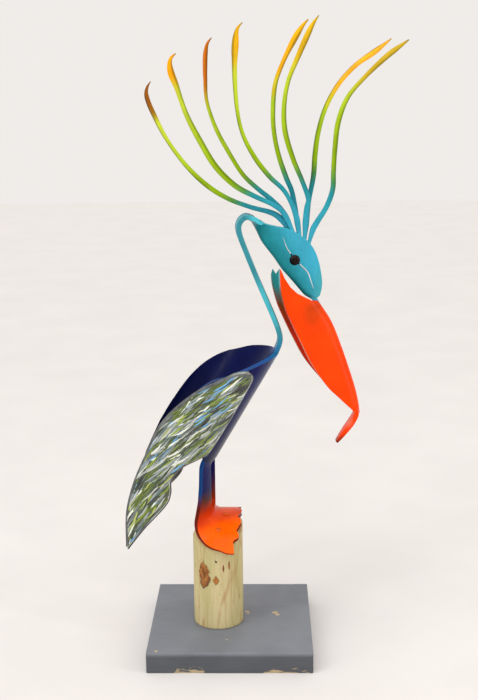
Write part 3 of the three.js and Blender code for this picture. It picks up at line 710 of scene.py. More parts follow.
def declare(piece: bpy.types.Object, slot: str, *nodes: str) -> bpy.types.Object:
    """Puts the piece on the statue in place of its solids.

    Args:
        piece: The finished piece.
        slot: Not used.
        nodes: The solids that it stands for.
    Returns:
        The piece.
    """
    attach(piece, "root")
    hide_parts(*nodes)
    LOG.info("%s: %d faces for %s", piece.name, len(piece.data.polygons), ", ".join(nodes))
    return piece


# The pipe


@dataclass(frozen=True)
class Pipe:
    """The pipe wall that the bird is cut from, and how it leans at the breast."""

    radius: float = 109.5
    wall: float = 8.2
    centre_y: float = 20.0
    top_x: float = 87.4
    top_z: float = 526.4
    lean: float = math.radians(30.44)
    length: float = 226.0

    @property
    def down(self) -> np.ndarray:
        """The direction down the breast."""
        return np.array([-math.sin(self.lean), 0, -math.cos(self.lean)])

    @property
    def inward(self) -> np.ndarray:
        """The direction from the breast's front line to the pipe's axis."""
        return np.array([-math.cos(self.lean), 0, math.sin(self.lean)])

    def point(self, angle: np.ndarray, along: np.ndarray, radius: float) -> np.ndarray:
        """Points on the leaning pipe.

        Args:
            angle: Degrees round the pipe, positive on the viewer's side.
            along: Distances down from the breast's top.
            radius: Distance from the pipe's axis.
        Returns:
            The points.
        """
        turn = np.radians(angle)
        depth = self.radius - radius * np.cos(turn)
        top = np.array([self.top_x, 0, self.top_z])
        place = top + np.multiply.outer(along, self.down) + np.multiply.outer(depth, self.inward)
        place[..., 1] = self.centre_y - radius * np.sin(turn)
        return place

    @property
    def hip(self) -> np.ndarray:
        """Where the breast's front line turns down into the legs."""
        return self.point(np.array(0.0), np.array(self.length), self.radius)


PIPE = Pipe()


# Board and post


@dataclass
class Board:
    """A square of plank with eased and knocked edges."""

    side: float = 286.0
    height: float = 38.0
    eased: float = 1.8
    step: float = 5.0

    def lines(self, half: float) -> np.ndarray:
        """Grid lines across a side, closer together at its eased ends."""
        ease_in = half - self.eased * np.array([0, 0.13, 0.35, 0.65, 1.0])
        count = max(2, int(2 * (half - self.eased) / self.step))
        middle = np.linspace(-half + self.eased, half - self.eased, count + 1)[1:-1]
        return np.concatenate([-ease_in, middle, ease_in[::-1]])

    def build(self) -> bpy.types.Object:
        """Makes the board."""
        half = np.array([self.side / 2, self.side / 2, self.height / 2])
        axes = [self.lines(value) for value in half]
        counts = [len(line) - 1 for line in axes]
        known: dict = {}
        points: list = []

        def vertex(index: tuple) -> int:
            """The number of the vertex on those three grid lines."""
            if index not in known:
                known[index] = len(points)
                points.append([axes[n][index[n]] for n in range(3)])
            return known[index]

        faces = []
        for axis in range(3):
            first, second = (axis + 1) % 3, (axis + 2) % 3
            for end in (0, counts[axis]):
                for i in range(counts[first]):
                    for j in range(counts[second]):
                        corner = []
                        for a, b in ((i, j), (i + 1, j), (i + 1, j + 1), (i, j + 1)):
                            index = [0, 0, 0]
                            index[axis], index[first], index[second] = end, a, b
                            corner.append(vertex(tuple(index)))
                        faces.append(tuple(corner))
        place = np.array(points)
        core = np.clip(place, -(half - self.eased), half - self.eased)
        away = place - core
        length = np.linalg.norm(away, axis=1)[:, None] + 1e-9
        near_edge = (np.abs(away) > 1e-6).sum(axis=1)[:, None] > 1
        place = np.where(near_edge, core + away / length * self.eased, place)
        place[:, 2] += self.height / 2
        self.knock(place, half)
        surface = Surface(place, faces, np.full_like(place, 0.2))
        piece = surface.build("painted_board", 60)
        dress(piece, Finish.BOARD)
        return declare(piece, "board_paint", "base_board")

    def knock(self, place: np.ndarray, half: np.ndarray) -> None:
        """Wears the front's lower edge where it is bare, and dents the others."""
        edge = ease(np.abs(place[:, 0]), half[0] - 4, half[0]) + ease(np.abs(place[:, 1]), half[1] - 4, half[1])
        top = ease(place[:, 2], self.height - 3, self.height)
        dent = np.clip(wobble(place, 17, 3), 0, 1) * edge * top
        place[:, 2] -= 0.9 * dent
        low = ease(place[:, 2], 9, 0) * ease(-place[:, 1], half[1] - 5, half[1])
        for start, end, _ in BoardPaint.WORN:
            worn = low * ease(place[:, 0], start - 4, start + 6) * ease(-place[:, 0], -end - 4, -end + 6)
            place[:, 1] += worn * (0.7 + 0.6 * wobble(place, 9, 7))


@dataclass
class Post:
    """A sawn timber round, shaped on top to the arch of the foot."""

    x: float = -22.5
    y: float = -10.0
    radius: float = 44.25
    bottom: float = 38.3
    chamfer_end_z: float = 184.0
    heel_z: float = 197.0
    heel_x: float = -30.0
    sides: int = 160
    rows: int = 70

    def side(self) -> Surface:
        """The round, a little uneven, with its two flat ends."""
        heights = np.concatenate([[self.bottom, self.bottom + 0.5], np.linspace(self.bottom + 1.6, 250, self.rows)])
        turns = np.linspace(0, 2 * math.pi, self.sides, endpoint=False)
        circle = np.stack([np.cos(turns), np.sin(turns), np.zeros(self.sides)], axis=1)
        points = []
        for n, height in enumerate(heights):
            ring = circle * self.radius + [self.x, self.y, height]
            grain = wobble(ring * [1, 1, 0.08], 7, 5) * 0.22 + wobble(ring, 45, 9) * 0.25
            eased = (1.1, 0.35)[n] if n < 2 else 0.0
            points.append(ring + circle * (grain - eased)[:, None])
        flat = np.vstack(points)
        count, rows = self.sides, len(heights)
        faces = [
            (i * count + j, i * count + (j + 1) % count, (i + 1) * count + (j + 1) % count, (i + 1) * count + j)
            for i in range(rows - 1)
            for j in range(count)
        ]
        faces.append(tuple(reversed(range(count))))
        faces.append(tuple(range((rows - 1) * count, rows * count)))
        return Surface(flat, faces, np.full_like(flat, 0.4))

    def top_outline(self) -> list:
        """The outline of the top in y and z, with the foot's arch."""
        seat = PIPE.radius - PIPE.wall - 0.3
        axis_z = Legs.bend_z - Legs.bend_radius - PIPE.radius
        reach = self.radius + 4
        arch = [
            (y, axis_z + math.sqrt(seat ** 2 - (y - PIPE.centre_y) ** 2))
            for y in np.linspace(self.y, self.y + reach, 24)
        ]
        start = (self.y - reach, self.chamfer_end_z)
        return [(self.y - reach, 0), start, *arch, (self.y + reach, 0)]

    def build(self) -> bpy.types.Object:
        """Makes the post."""
        piece = self.side().build("pine_post")
        reach = self.radius + 4
        left, right = self.x - reach, self.x + reach
        combine(piece, prism(self.top_outline(), "X", left, right).build("top"), "INTERSECT")
        heel = [(left, self.heel_z), (self.heel_x, self.heel_z + self.heel_x - left), (self.heel_x, 300), (left, 300)]
        combine(piece, prism(heel, "Y", self.y - reach, self.y + reach).build("heel"), "DIFFERENCE")
        for seat in SCREWS:
            combine(piece, seat.hole().build("hole"), "DIFFERENCE")
        combine(piece, self.drill().build("drill"), "DIFFERENCE")
        smooth(piece.data, 32)
        dress(piece, Finish.PINE)
        return declare(piece, "post_wood", "post")

    def drill(self) -> Surface:
        """The small open hole on the viewer's side."""
        turns = np.linspace(0, 2 * math.pi, 20, endpoint=False)
        outline = [(-24.5 + 2.1 * math.cos(t), 165.5 + 2.1 * math.sin(t)) for t in turns]
        return prism(outline, "Y", -70, -34)


# Legs, foot and screws


@dataclass
class Legs:
    """The legs and the webbed foot: the pipe's section swept down and forward."""

    hip_edge: float = 33.0
    hip_round: float = 14.0
    plate_rows: int = 22
    columns: int = 97

    bend_z = 244.0
    bend_radius = 10.0

    # The side edges' angle at heights down the leg, round the ankle and along the foot.
    FLARE = ((331, 33), (300, 34), (272, 36), (244, 40.8))
    ANKLE = ((0, 40.8), (30, 44.8), (60, 48.4), (90, 51))
    FOOT = ((-17, 51), (0, 53.9), (30, 54.3))

    # The toes' edge as the distance from the middle and x, with its small bites.
    TOES = ((0, 19.5), (5, 18.3), (11, 16.8), (17.4, 14.9), (21, 12.2), (24.5, 12.4), (27.5, 16.6), (31.2, 17.4),
            (36, 18.2), (40.2, 17.4), (45, 15), (50.1, 12.8), (54, 10.6), (57.5, 10.8), (60.5, 14), (64, 14.6),
            (67, 13), (70, 6.4), (73, 4.2), (77, 5.4), (84, 6.4), (96, 6.8))

    NAVY = np.array(paint(9, 14, 80))
    CUT_BLUE = np.array(paint(24, 74, 140))
    BROWN = np.array(paint(70, 34, 18))
    RED = np.array(paint(206, 54, 2))
    ORANGE = np.array(paint(252, 92, 0))
    CUT_RED = np.array(paint(104, 24, 2))

    def rows(self) -> list:
        """The sweep's stages, each a function from angle and radius to a point."""
        hip = PIPE.hip
        centre = hip + [self.hip_round, 0, -self.hip_round * math.tan(PIPE.lean / 2)]
        stages = []
        for turn in np.linspace(PIPE.lean, 0, 10)[1:]:
            direction = np.array([-math.cos(turn), 0, math.sin(turn)])
            stages.append((self.hip_edge, lambda depth, d=direction: centre + np.multiply.outer(self.hip_round + depth, d)))
        first, last = centre[2], self.bend_z
        for height in np.linspace(first, last, 26)[1:]:
            edge = np.interp(-height, [-z for z, _ in self.FLARE], [e for _, e in self.FLARE])
            stages.append((edge, lambda depth, z=height: np.stack([hip[0] - depth, depth * 0, depth * 0 + z], axis=-1)))
        ankle = np.array([hip[0] + self.bend_radius, 0, self.bend_z])
        for degrees in np.linspace(0, 90, 19)[1:]:
            edge = np.interp(degrees, [d for d, _ in self.ANKLE], [e for _, e in self.ANKLE])
            turn = math.radians(degrees)
            direction = np.array([-math.cos(turn), 0, -math.sin(turn)])
            stages.append((edge, lambda depth, d=direction: ankle + np.multiply.outer(self.bend_radius + depth, d)))
        return stages

    def skins(self) -> tuple:
        """The outer and inner skins' points, and how far each row is along."""
        shares = np.linspace(-1, 1, self.columns)
        radii = (PIPE.radius, PIPE.radius - PIPE.wall)
        grids = []
        for radius in radii:
            rows = []
            for edge, stage in self.rows():
                rows.append(self.row(shares * edge, radius, stage))
            grids.append(rows)
        start_x = PIPE.hip[0] + self.bend_radius
        for share in np.linspace(0, 1, self.plate_rows)[1:]:
            for radius, rows in zip(radii, grids):
                reach = share * 34 + start_x
                edge = np.interp(reach, [x for x, _ in self.FOOT], [e for _, e in self.FOOT])
                angles = np.radians(shares * edge)
                y = PIPE.centre_y - radius * np.sin(angles)
                mean = (PIPE.radius - PIPE.wall / 2) * np.abs(np.sin(angles))
                toe = np.interp(mean, [d for d, _ in self.TOES], [x for _, x in self.TOES])
                depth = PIPE.radius - radius * np.cos(angles)
                z = self.bend_z - self.bend_radius - depth
                rows.append(np.stack([start_x + (toe - start_x) * share, y, z], axis=-1))
        return np.array(grids[0]), np.array(grids[1])

    def row(self, angles: np.ndarray, radius: float, stage) -> np.ndarray:
        """One row of the sweep."""
        turn = np.radians(angles)
        place = stage(PIPE.radius - radius * np.cos(turn))
        place[..., 1] = PIPE.centre_y - radius * np.sin(turn)
        return place

    def colours(self, points: np.ndarray) -> tuple:
        """The outer skin's, inner skin's and edge's colours."""
        z = points[..., 2] + 5 * wobble(points, 22, 4)
        stops = [(222, self.ORANGE), (238, self.RED), (256, self.RED * 0.55), (272, self.BROWN),
                 (292, self.NAVY), (330, self.NAVY)]
        body = ramp(z, stops)
        flush = ease(points[..., 0], -6, 10) * ease(points[..., 2], 236, 226)
        body = fade(body, self.ORANGE * 1.05, flush)
        edge = ramp(z, [(232, self.CUT_RED), (262, self.CUT_RED * 0.8), (284, self.CUT_BLUE * 0.8), (330, self.CUT_BLUE)])
        # Painted shade: the inner skin is the outer skin's paint darkened.
        return body, body * 0.8, edge

    def slot(self) -> Surface:
        """The gap between the legs, with rounded ends."""
        near, far, bottom, top = -13.8, 23.8, 248.0, 341.0
        middle, half = (near + far) / 2, (far - near) / 2
        turns = np.linspace(0, math.pi, 24)
        low = [(middle - half * math.cos(t), bottom + 9 - 9 * math.sin(t)) for t in turns]
        high = [(middle + half * math.cos(t), top - 8 + 8 * math.sin(t)) for t in turns]
        return prism([*low, *high], "X", -140, PIPE.hip[0] + self.bend_radius)


@dataclass(frozen=True)
class Screw:
    """A pan head screw in the foot: where it sits, as x and the angle round the arch."""

    x: float
    angle: float
    head: float = 4.6
    dome: float = 2.6
    shank: float = 2.2
    length: float = 28.0

    def seat(self) -> tuple:
        """The seat's centre on the foot's upper skin, and the way it faces."""
        turn = math.radians(self.angle)
        turned = Legs.bend_radius + PIPE.radius * (1 - math.cos(turn))
        behind = max(PIPE.hip[0] + Legs.bend_radius - self.x, 0)
        bend = math.acos(behind / turned)
        centre = Vector((self.x, PIPE.centre_y - PIPE.radius * math.sin(turn), Legs.bend_z - turned * math.sin(bend)))
        facing = Vector((math.cos(turn) * math.cos(bend), -math.sin(turn), math.cos(turn) * math.sin(bend)))
        return centre, facing

    def hole(self) -> Surface:
        """The hole for the shank, through foot and post."""
        centre, facing = self.seat()
        turn = Vector((0, 0, 1)).rotation_difference(facing).to_matrix()
        turns = np.linspace(0, 2 * math.pi, 20, endpoint=False)
        radius = self.shank + 0.3
        rings = [[(radius * math.cos(t), radius * math.sin(t), height) for t in turns] for height in (-self.length - 1, 5)]
        points = np.array([tuple(centre + turn @ Vector(p)) for ring in rings for p in ring])
        count = len(turns)
        faces = [(n, (n + 1) % count, (n + 1) % count + count, n + count) for n in range(count)]
        faces += [tuple(reversed(range(count))), tuple(range(count, 2 * count))]
        return Surface(points, faces, np.zeros_like(points))


SCREWS = (Screw(-8.3, 8.5), Screw(-20.6, 31.1))


@dataclass
class ScrewSet:
    """Both screws, set on their seats by nodes and painted over with the foot."""

    sides: int = 32
    paint_colour: Colour = paint(214, 92, 30)

    def pattern(self) -> bpy.types.Object:
        """One screw at the origin, pointing up, with a cross recess."""
        screw = SCREWS[0]
        lift = 0.6
        cap = [
            (screw.head * math.sin(a), lift + screw.dome * math.cos(a) ** 0.8)
            for a in np.linspace(0.06, math.pi / 2, 9)
        ]
        profile = [*cap, (screw.head - 0.3, lift - 0.1), (screw.shank, lift), (screw.shank, -screw.length + 4)]
        rings = [(radius, height) for radius, height in profile]
        turns = np.linspace(0, 2 * math.pi, self.sides, endpoint=False)
        points = [(0, 0, lift + screw.dome)]
        points += [(r * math.cos(t), r * math.sin(t), h) for r, h in rings for t in turns]
        points.append((0, 0, -screw.length))
        count = self.sides
        faces = [(0, 1 + n, 1 + (n + 1) % count) for n in range(count)]
        for ring in range(len(rings) - 1):
            a = 1 + ring * count
            faces += [(a + n, a + n + count, a + (n + 1) % count + count, a + (n + 1) % count) for n in range(count)]
        last = 1 + (len(rings) - 1) * count
        faces += [(last + n, len(points) - 1, last + (n + 1) % count) for n in range(count)]
        array = np.array(points, float)
        piece = Surface(array, faces, np.tile(self.paint_colour, (len(array), 1))).build("screw_pattern")
        arm, slot, top, floor = 2.4, 0.55, 6.0, lift + screw.dome - 1.3
        for long, wide in ((arm, slot), (slot, arm)):
            outline = [(-long, -wide), (long, -wide), (long, wide), (-long, wide)]
            combine(piece, prism(outline, "Z", floor, top).build("recess"), "DIFFERENCE")
        write_paint(piece.data, np.tile(self.paint_colour, (len(piece.data.vertices), 1)))
        smooth(piece.data, 35)
        return piece

    def build(self) -> bpy.types.Object:
        """Makes both screws."""
        pattern = self.pattern()
        seats = [screw.seat() for screw in SCREWS]
        mesh = bpy.data.meshes.new("painted_screws")
        mesh.from_pydata([tuple(centre * MM) for centre, _ in seats], [], [])
        facing = mesh.attributes.new("facing", "FLOAT_VECTOR", "POINT")
        facing.data.foreach_set("vector", [value for _, direction in seats for value in direction])
        piece = bpy.data.objects.new("painted_screws", mesh)
        bpy.context.scene.collection.objects.link(piece)
        growth = Growth("screws_on_seats")
        growth.input("Screw", "NodeSocketObject")
        growth.input("Finish", "NodeSocketMaterial")
        source = growth.node("GeometryNodeObjectInfo", {"Object": growth.given("Screw")}).outputs["Geometry"]
        direction = growth.attribute("facing", "FLOAT_VECTOR")
        turned = growth.node("FunctionNodeAlignRotationToVector", {"Vector": direction}, axis="Z").outputs[0]
        placed = growth.node("GeometryNodeInstanceOnPoints", {
            "Points": growth.given("Geometry"), "Instance": source, "Rotation": turned}).outputs[0]
        growth.end(placed, growth.given("Finish"))
        growth.apply(piece, {"Screw": pattern, "Finish": Finish.GLOSS.material()})
        bpy.data.objects.remove(pattern)
        smooth(piece.data, 35)
        return declare(piece, "screw_metal", *(f"screw_{name}" for name in ("upper", "lower")))


class Growth(Tree):
    """A geometry node tree with named inputs, for what repeats or follows a path."""

    def __init__(self, name: str) -> None:
        """Starts the tree with its geometry input and output."""
        super().__init__(bpy.data.node_groups.new(name, "GeometryNodeTree"))
        self.tree.interface.new_socket("Geometry", in_out="INPUT", socket_type="NodeSocketGeometry")
        self.tree.interface.new_socket("Geometry", in_out="OUTPUT", socket_type="NodeSocketGeometry")
        self.entry = self.node("NodeGroupInput")
        self.exit = self.node("NodeGroupOutput")

    def input(self, name: str, kind: str = "NodeSocketFloat") -> None:
        """Adds a named input."""
        self.tree.interface.new_socket(name, in_out="INPUT", socket_type=kind)

    def given(self, name: str) -> bpy.types.NodeSocket:
        """The socket of a named input."""
        return self.entry.outputs[name]

    def attribute(self, name: str, kind: str = "FLOAT") -> bpy.types.NodeSocket:
        """Reads a named attribute."""
        return self.node("GeometryNodeInputNamedAttribute", {"Name": name}, data_type=kind).outputs["Attribute"]

    def keep(self, geometry, name: str, value, domain: str = "POINT") -> bpy.types.NodeSocket:
        """Stores a number under a name."""
        inputs = {"Geometry": geometry, "Name": name, "Value": value}
        made = self.node("GeometryNodeStoreNamedAttribute", inputs, data_type="FLOAT", domain=domain)
        return made.outputs["Geometry"]

    def random(self, low: float, high: float, seed) -> bpy.types.NodeSocket:
        """A random number for each element, the same each run."""
        made = self.node("FunctionNodeRandomValue", data_type="FLOAT")
        for identifier, value in (("Min_001", low), ("Max_001", high), ("Seed", seed)):
            self.feed(next(s for s in made.inputs if s.identifier == identifier), value)
        return next(s for s in made.outputs if s.identifier == "Value_001")

    def end(self, geometry, material) -> None:
        """Ends the tree in plain, dressed geometry."""
        real = self.node("GeometryNodeRealizeInstances", {"Geometry": geometry}).outputs[0]
        dressed = self.node("GeometryNodeSetMaterial", {"Geometry": real, "Material": material}).outputs[0]
        self.feed(self.exit.inputs[0], dressed)

    def apply(self, piece: bpy.types.Object, values: dict) -> None:
        """Runs the tree on the piece and keeps the result as its mesh."""
        step = piece.modifiers.new(self.tree.name, "NODES")
        step.node_group = self.tree
        sockets = {item.name: item.identifier for item in self.tree.interface.items_tree if item.in_out == "INPUT"}
        for name, value in values.items():
            step[sockets[name]] = value
        settle(piece)


# The bird


@dataclass
class Breast:
    """The leaning half pipe with its sloping rim, tail flaps and the legs below."""

    near_rise: float = 112.0
    far_rise: float = 90.0
    far_lift: float = 6.0
    middle_columns: int = 30
    tail_columns: int = 40
    rows: int = 48
    edge_round: float = 1.1

    # The outline past the rim, as angles and distances down the pipe.
    SHOULDER = ((75, 80), (83, 109), (88.5, 149), (91, 200), (91.3, 232))
    FLAP = ((33, 0), (33.6, 213), (37, 204), (44, 199), (52, 205), (60, 224), (66, 252), (67, 290))
    TAIL = ((67, 290), (71, 330), (80, 345), (87, 315), (89, 290), (91.3, 246))

    NAVY = np.array(paint(4, 18, 82))
    DEEP = np.array(paint(2, 9, 48))
    INSIDE = np.array(paint(0, 9, 62))
    RIM = np.array(paint(30, 62, 124))
    TEAL = np.array(paint(40, 120, 170))
    # The cut edge from the neck down along the rim, by the distance from the neck's root.
    ROOT = np.array([88.0, 20.0, 524.0])
    CUT = ((-40, paint(54, 134, 146)), (-20, paint(48, 128, 160)), (4, paint(34, 94, 150)), (40, paint(38, 74, 132)),
           (110, paint(48, 68, 112)), (220, paint(52, 64, 98)))

    @property
    def hip_along(self) -> float:
        """How far down the pipe the hip's bend begins."""
        return PIPE.length - Legs.hip_round * math.tan(PIPE.lean / 2)

    def half(self, side: int, legs: Legs) -> tuple:
        """The upper and lower outline of one half, column by column."""
        rise = self.near_rise if side > 0 else self.far_rise
        centre = np.linspace(0, legs.hip_edge, (legs.columns + 1) // 2)
        low_middle = even_rows([(33, self.hip_along), *self.FLAP[1:]], self.middle_columns + 1)[1:]
        low_tail = smooth_rows(self.TAIL, self.tail_columns + 1)[1:]
        turns = np.concatenate([centre, np.linspace(33, 66, self.middle_columns + 1)[1:]])
        lift = 0 if side > 0 else self.far_lift * ease(turns, 44, 66)
        rim = np.stack([turns, rise * (1 - np.cos(np.radians(turns))) + lift], axis=1)
        shoulder = even_rows([tuple(rim[-1]), *self.SHOULDER], self.tail_columns + 1)[1:]
        upper = np.vstack([rim, shoulder])
        hip = np.stack([centre, np.full_like(centre, self.hip_along)], axis=1)
        lower = np.vstack([hip, low_middle, low_tail])
        return upper * [side, 1], lower * [side, 1]

    def surface(self) -> Surface:
        """The body and legs as one wall."""
        legs = Legs()
        near, far = self.half(1, legs), self.half(-1, legs)
        upper, lower = (np.vstack([b[:0:-1], a]) for a, b in zip(near, far))
        share = np.linspace(0, 1, self.rows + 1)[:, None, None]
        plan = upper + (lower - upper) * share
        outer = PIPE.point(plan[..., 0], plan[..., 1], PIPE.radius)
        inner = PIPE.point(plan[..., 0], plan[..., 1], PIPE.radius - PIPE.wall)
        sheet = Sheet(self.edge_round)
        sheet.grid(outer, inner, self.colours(outer, plan))
        legs_outer, legs_inner = legs.skins()
        start = self.tail_columns + self.middle_columns
        crown = slice(start, start + legs.columns)
        legs_outer = np.concatenate([outer[-1:, crown], legs_outer])
        legs_inner = np.concatenate([inner[-1:, crown], legs_inner])
        sheet.grid(legs_outer, legs_inner, legs.colours(legs_outer))
        return sheet.closed()

    def colours(self, outer: np.ndarray, plan: np.ndarray) -> tuple:
        """The outer skin's, inner skin's and edge's colours."""
        off = np.abs(plan[..., 0])
        along = plan[..., 1] + 10 * wobble(outer, 40, 2)
        outside = fade(self.NAVY, self.DEEP, ease(along, 40, 300))
        blush = ease(off, 26, 8) * ease(along, 34, -4)
        outside = fade(outside, self.TEAL, blush * 0.75)
        # Painted shade: the inner skin darkens further down the hollow of the pipe.
        inside = fade(self.INSIDE, self.DEEP * 0.6, ease(along, 60, 260))
        inside = fade(inside, self.RIM, ease(off, 34, 6) * ease(along, 22, -4) * 0.8)
        return outside, inside, self.cut(outer)

    def cut(self, points: np.ndarray) -> np.ndarray:
        """The paint on the cut edge near the neck's root."""
        away = points - self.ROOT
        place = np.where(away[..., 2] > 0, -away[..., 2], np.linalg.norm(away * [1, 0.4, 1], axis=-1))
        return ramp(place, list(self.CUT))


@dataclass
class NeckAndHead:
    """One strip that rises from the breast, bends over and folds double into the head."""

    fold_radius: float = 4.5
    fold_arc: float = 7.1
    yaw: float = 9.0
    rows: int = 190
    edge_round: float = 0.9

    # Outer face x and z, the way inward as x and z, half width, fold and yaw.
    NECK = (
        (74.0, 503.7, -0.862, 0.507, 24, 0, 0), (80.9, 515.4, -0.862, 0.507, 21, 0, 0),
        (87.8, 527.6, -0.91, 0.42, 17, 0, 0), (94.3, 547.0, -0.99, 0.10, 16, 0, 1),
        (92.2, 565.0, -0.97, -0.25, 16, 0, 2), (81.0, 595.8, -0.92, -0.39, 16, 0, 3),
        (54.6, 658.7, -0.925, -0.38, 16, 0, 3), (30.2, 720.7, -0.96, -0.28, 17, 0, 4),
        (24.2, 741.2, -0.99, -0.14, 17.5, 0, 5), (25.6, 751.5, -0.90, 0.43, 18, 0, 5),
        (32.0, 757.8, -0.26, 0.96, 19, 0, 5), (38.8, 756.0, 0.42, 0.91, 20.5, 0, 6),
    )
    # Fold line x and z, upper edge x and z, and the fold in degrees.
    FOLD = (
        (43.7, 749.9, 47.6, 757.5, 28), (50.5, 737.0, 55.0, 754.5, 80), (59.6, 718.8, 64.5, 752.1, 165),
        (78.9, 693.3, 83.2, 746.9, 180), (92.0, 674.0, 103.6, 742.5, 180), (107.7, 655.8, 128.0, 728.6, 180),
        (119.0, 642.5, 146.4, 708.8, 180), (130.8, 628.7, 159.2, 668.0, 180),
        (140.0, 622.5, 161.0, 645.0, 180), (147.0, 618.5, 157.0, 627.0, 180),
    )
    SLIT_ABOVE = ((94.4, 729.8), (101.7, 710.2), (109.2, 698.6))
    SLIT_BELOW = ((121.2, 684.3), (137.3, 667.4), (142, 655.8), (148.4, 635.9))

    TEAL = np.array(paint(24, 124, 130))
    PALE = np.array(paint(58, 156, 182))
    EDGE = np.array(paint(70, 172, 184))
    NECK_FACE = np.array(paint(48, 152, 166))
    NECK_BLUE = np.array(paint(30, 84, 156))

    def stations(self) -> list:
        """The strip's sections from the breast to the head's tip."""
        folded = []
        for x, z, edge_x, edge_z, fold in self.FOLD:
            reach = math.hypot(edge_x - x, edge_z - z)
            slope = math.radians(fold) / 2
            on_arc = (1 - math.cos(slope)) / slope * self.fold_arc
            half = self.fold_arc + (reach - PIPE.wall / 2 - on_arc) / math.sin(slope)
            inward = ((edge_x - x) / reach, (edge_z - z) / reach)
            folded.append((x, z, *inward, max(half, self.fold_arc + 3), fold, self.yaw))
        return [*self.NECK, *folded]

    def skin(self, offset: float) -> np.ndarray:
        """One skin of the strip, that far outside its middle."""
        arc = np.linspace(0, self.fold_arc, 8)
        rows = []
        for x, z, dx, dz, half, fold, yaw in smooth_rows(self.stations(), self.rows):
            size = math.hypot(dx, dz)
            rest = self.fold_arc + (half - self.fold_arc) * np.linspace(0, 1, 14)[1:]
            one = np.concatenate([arc, rest])
            distance = np.concatenate([-one[:0:-1], one])
            curve = max(math.radians(fold) / (2 * self.fold_arc), 1e-6)
            on_arc = np.minimum(np.abs(distance), self.fold_arc)
            slope = curve * on_arc
            straight = np.abs(distance) - on_arc
            across = np.sign(distance) * (np.sin(slope) / curve + straight * np.cos(slope))
            depth = (1 - np.cos(slope)) / curve + straight * np.sin(slope)
            depth += float(ease(fold, 50, 0)) * across ** 2 / (2 * PIPE.radius)
            sideways = across + offset * np.sin(slope) * np.sign(distance)
            inside = PIPE.wall / 2 + depth - offset * np.cos(slope)
            shift = sideways * math.tan(math.radians(yaw))
            row = [x + inside * dx / size + shift, PIPE.centre_y - sideways, z + inside * dz / size]
            rows.append(np.stack(row, axis=-1))
        return np.array(rows)

    def surface(self) -> Surface:
        """The strip as one wall."""
        outer, inner = self.skin(PIPE.wall / 2), self.skin(-PIPE.wall / 2)
        sheet = Sheet(self.edge_round)
        sheet.grid(outer, inner, self.colours(outer))
        return sheet.closed()

    def colours(self, outer: np.ndarray) -> tuple:
        """The outer skin's, inner skin's and edge's colours."""
        x, z = outer[..., 0], outer[..., 2] + 4 * wobble(outer, 24, 6)
        # Painted shade and light: the head's teal is darker toward its lower left and paler toward its upper right, and
        # a painted highlight makes the tip by the bill bright cyan.
        head = fade(self.TEAL, self.PALE, ease(x * 0.8 + (z - 690) * 0.45, 62, 122))
        head = fade(head, self.EDGE * 0.85, ease(x - 0.25 * (z - 640), 140, 160))
        neck = ramp(z, [(515, Breast.NAVY), (530, self.NECK_BLUE * 0.8), (552, self.NECK_FACE), (760, self.NECK_FACE)])
        on_head = ease(x - 0.2 * (720 - z), 38, 50) * ease(z, 560, 600)
        face = fade(neck, head, on_head)
        edge = fade(Breast().cut(outer), self.EDGE, on_head)
        # Painted shade: the inner skin is the outer face's paint darkened.
        return face, face * 0.85, edge

    def slit(self) -> Surface:
        """The slit that the eye sits in, as a cutter through both walls."""
        line = smooth_rows([*self.SLIT_ABOVE, (EYE_X, EYE_Z), *self.SLIT_BELOW], 60)
        width = 1.25 * np.sin(np.linspace(0, math.pi, 60))[:, None] ** 0.6 * [0.8, 0.6]
        outline = [*(line + width).tolist(), *(line - width)[-2:0:-1].tolist()]
        return prism(outline, "Y", -20, 60)


EYE_X, EYE_Z, EYE_RADIUS = 115.1, 689.2, 12.2


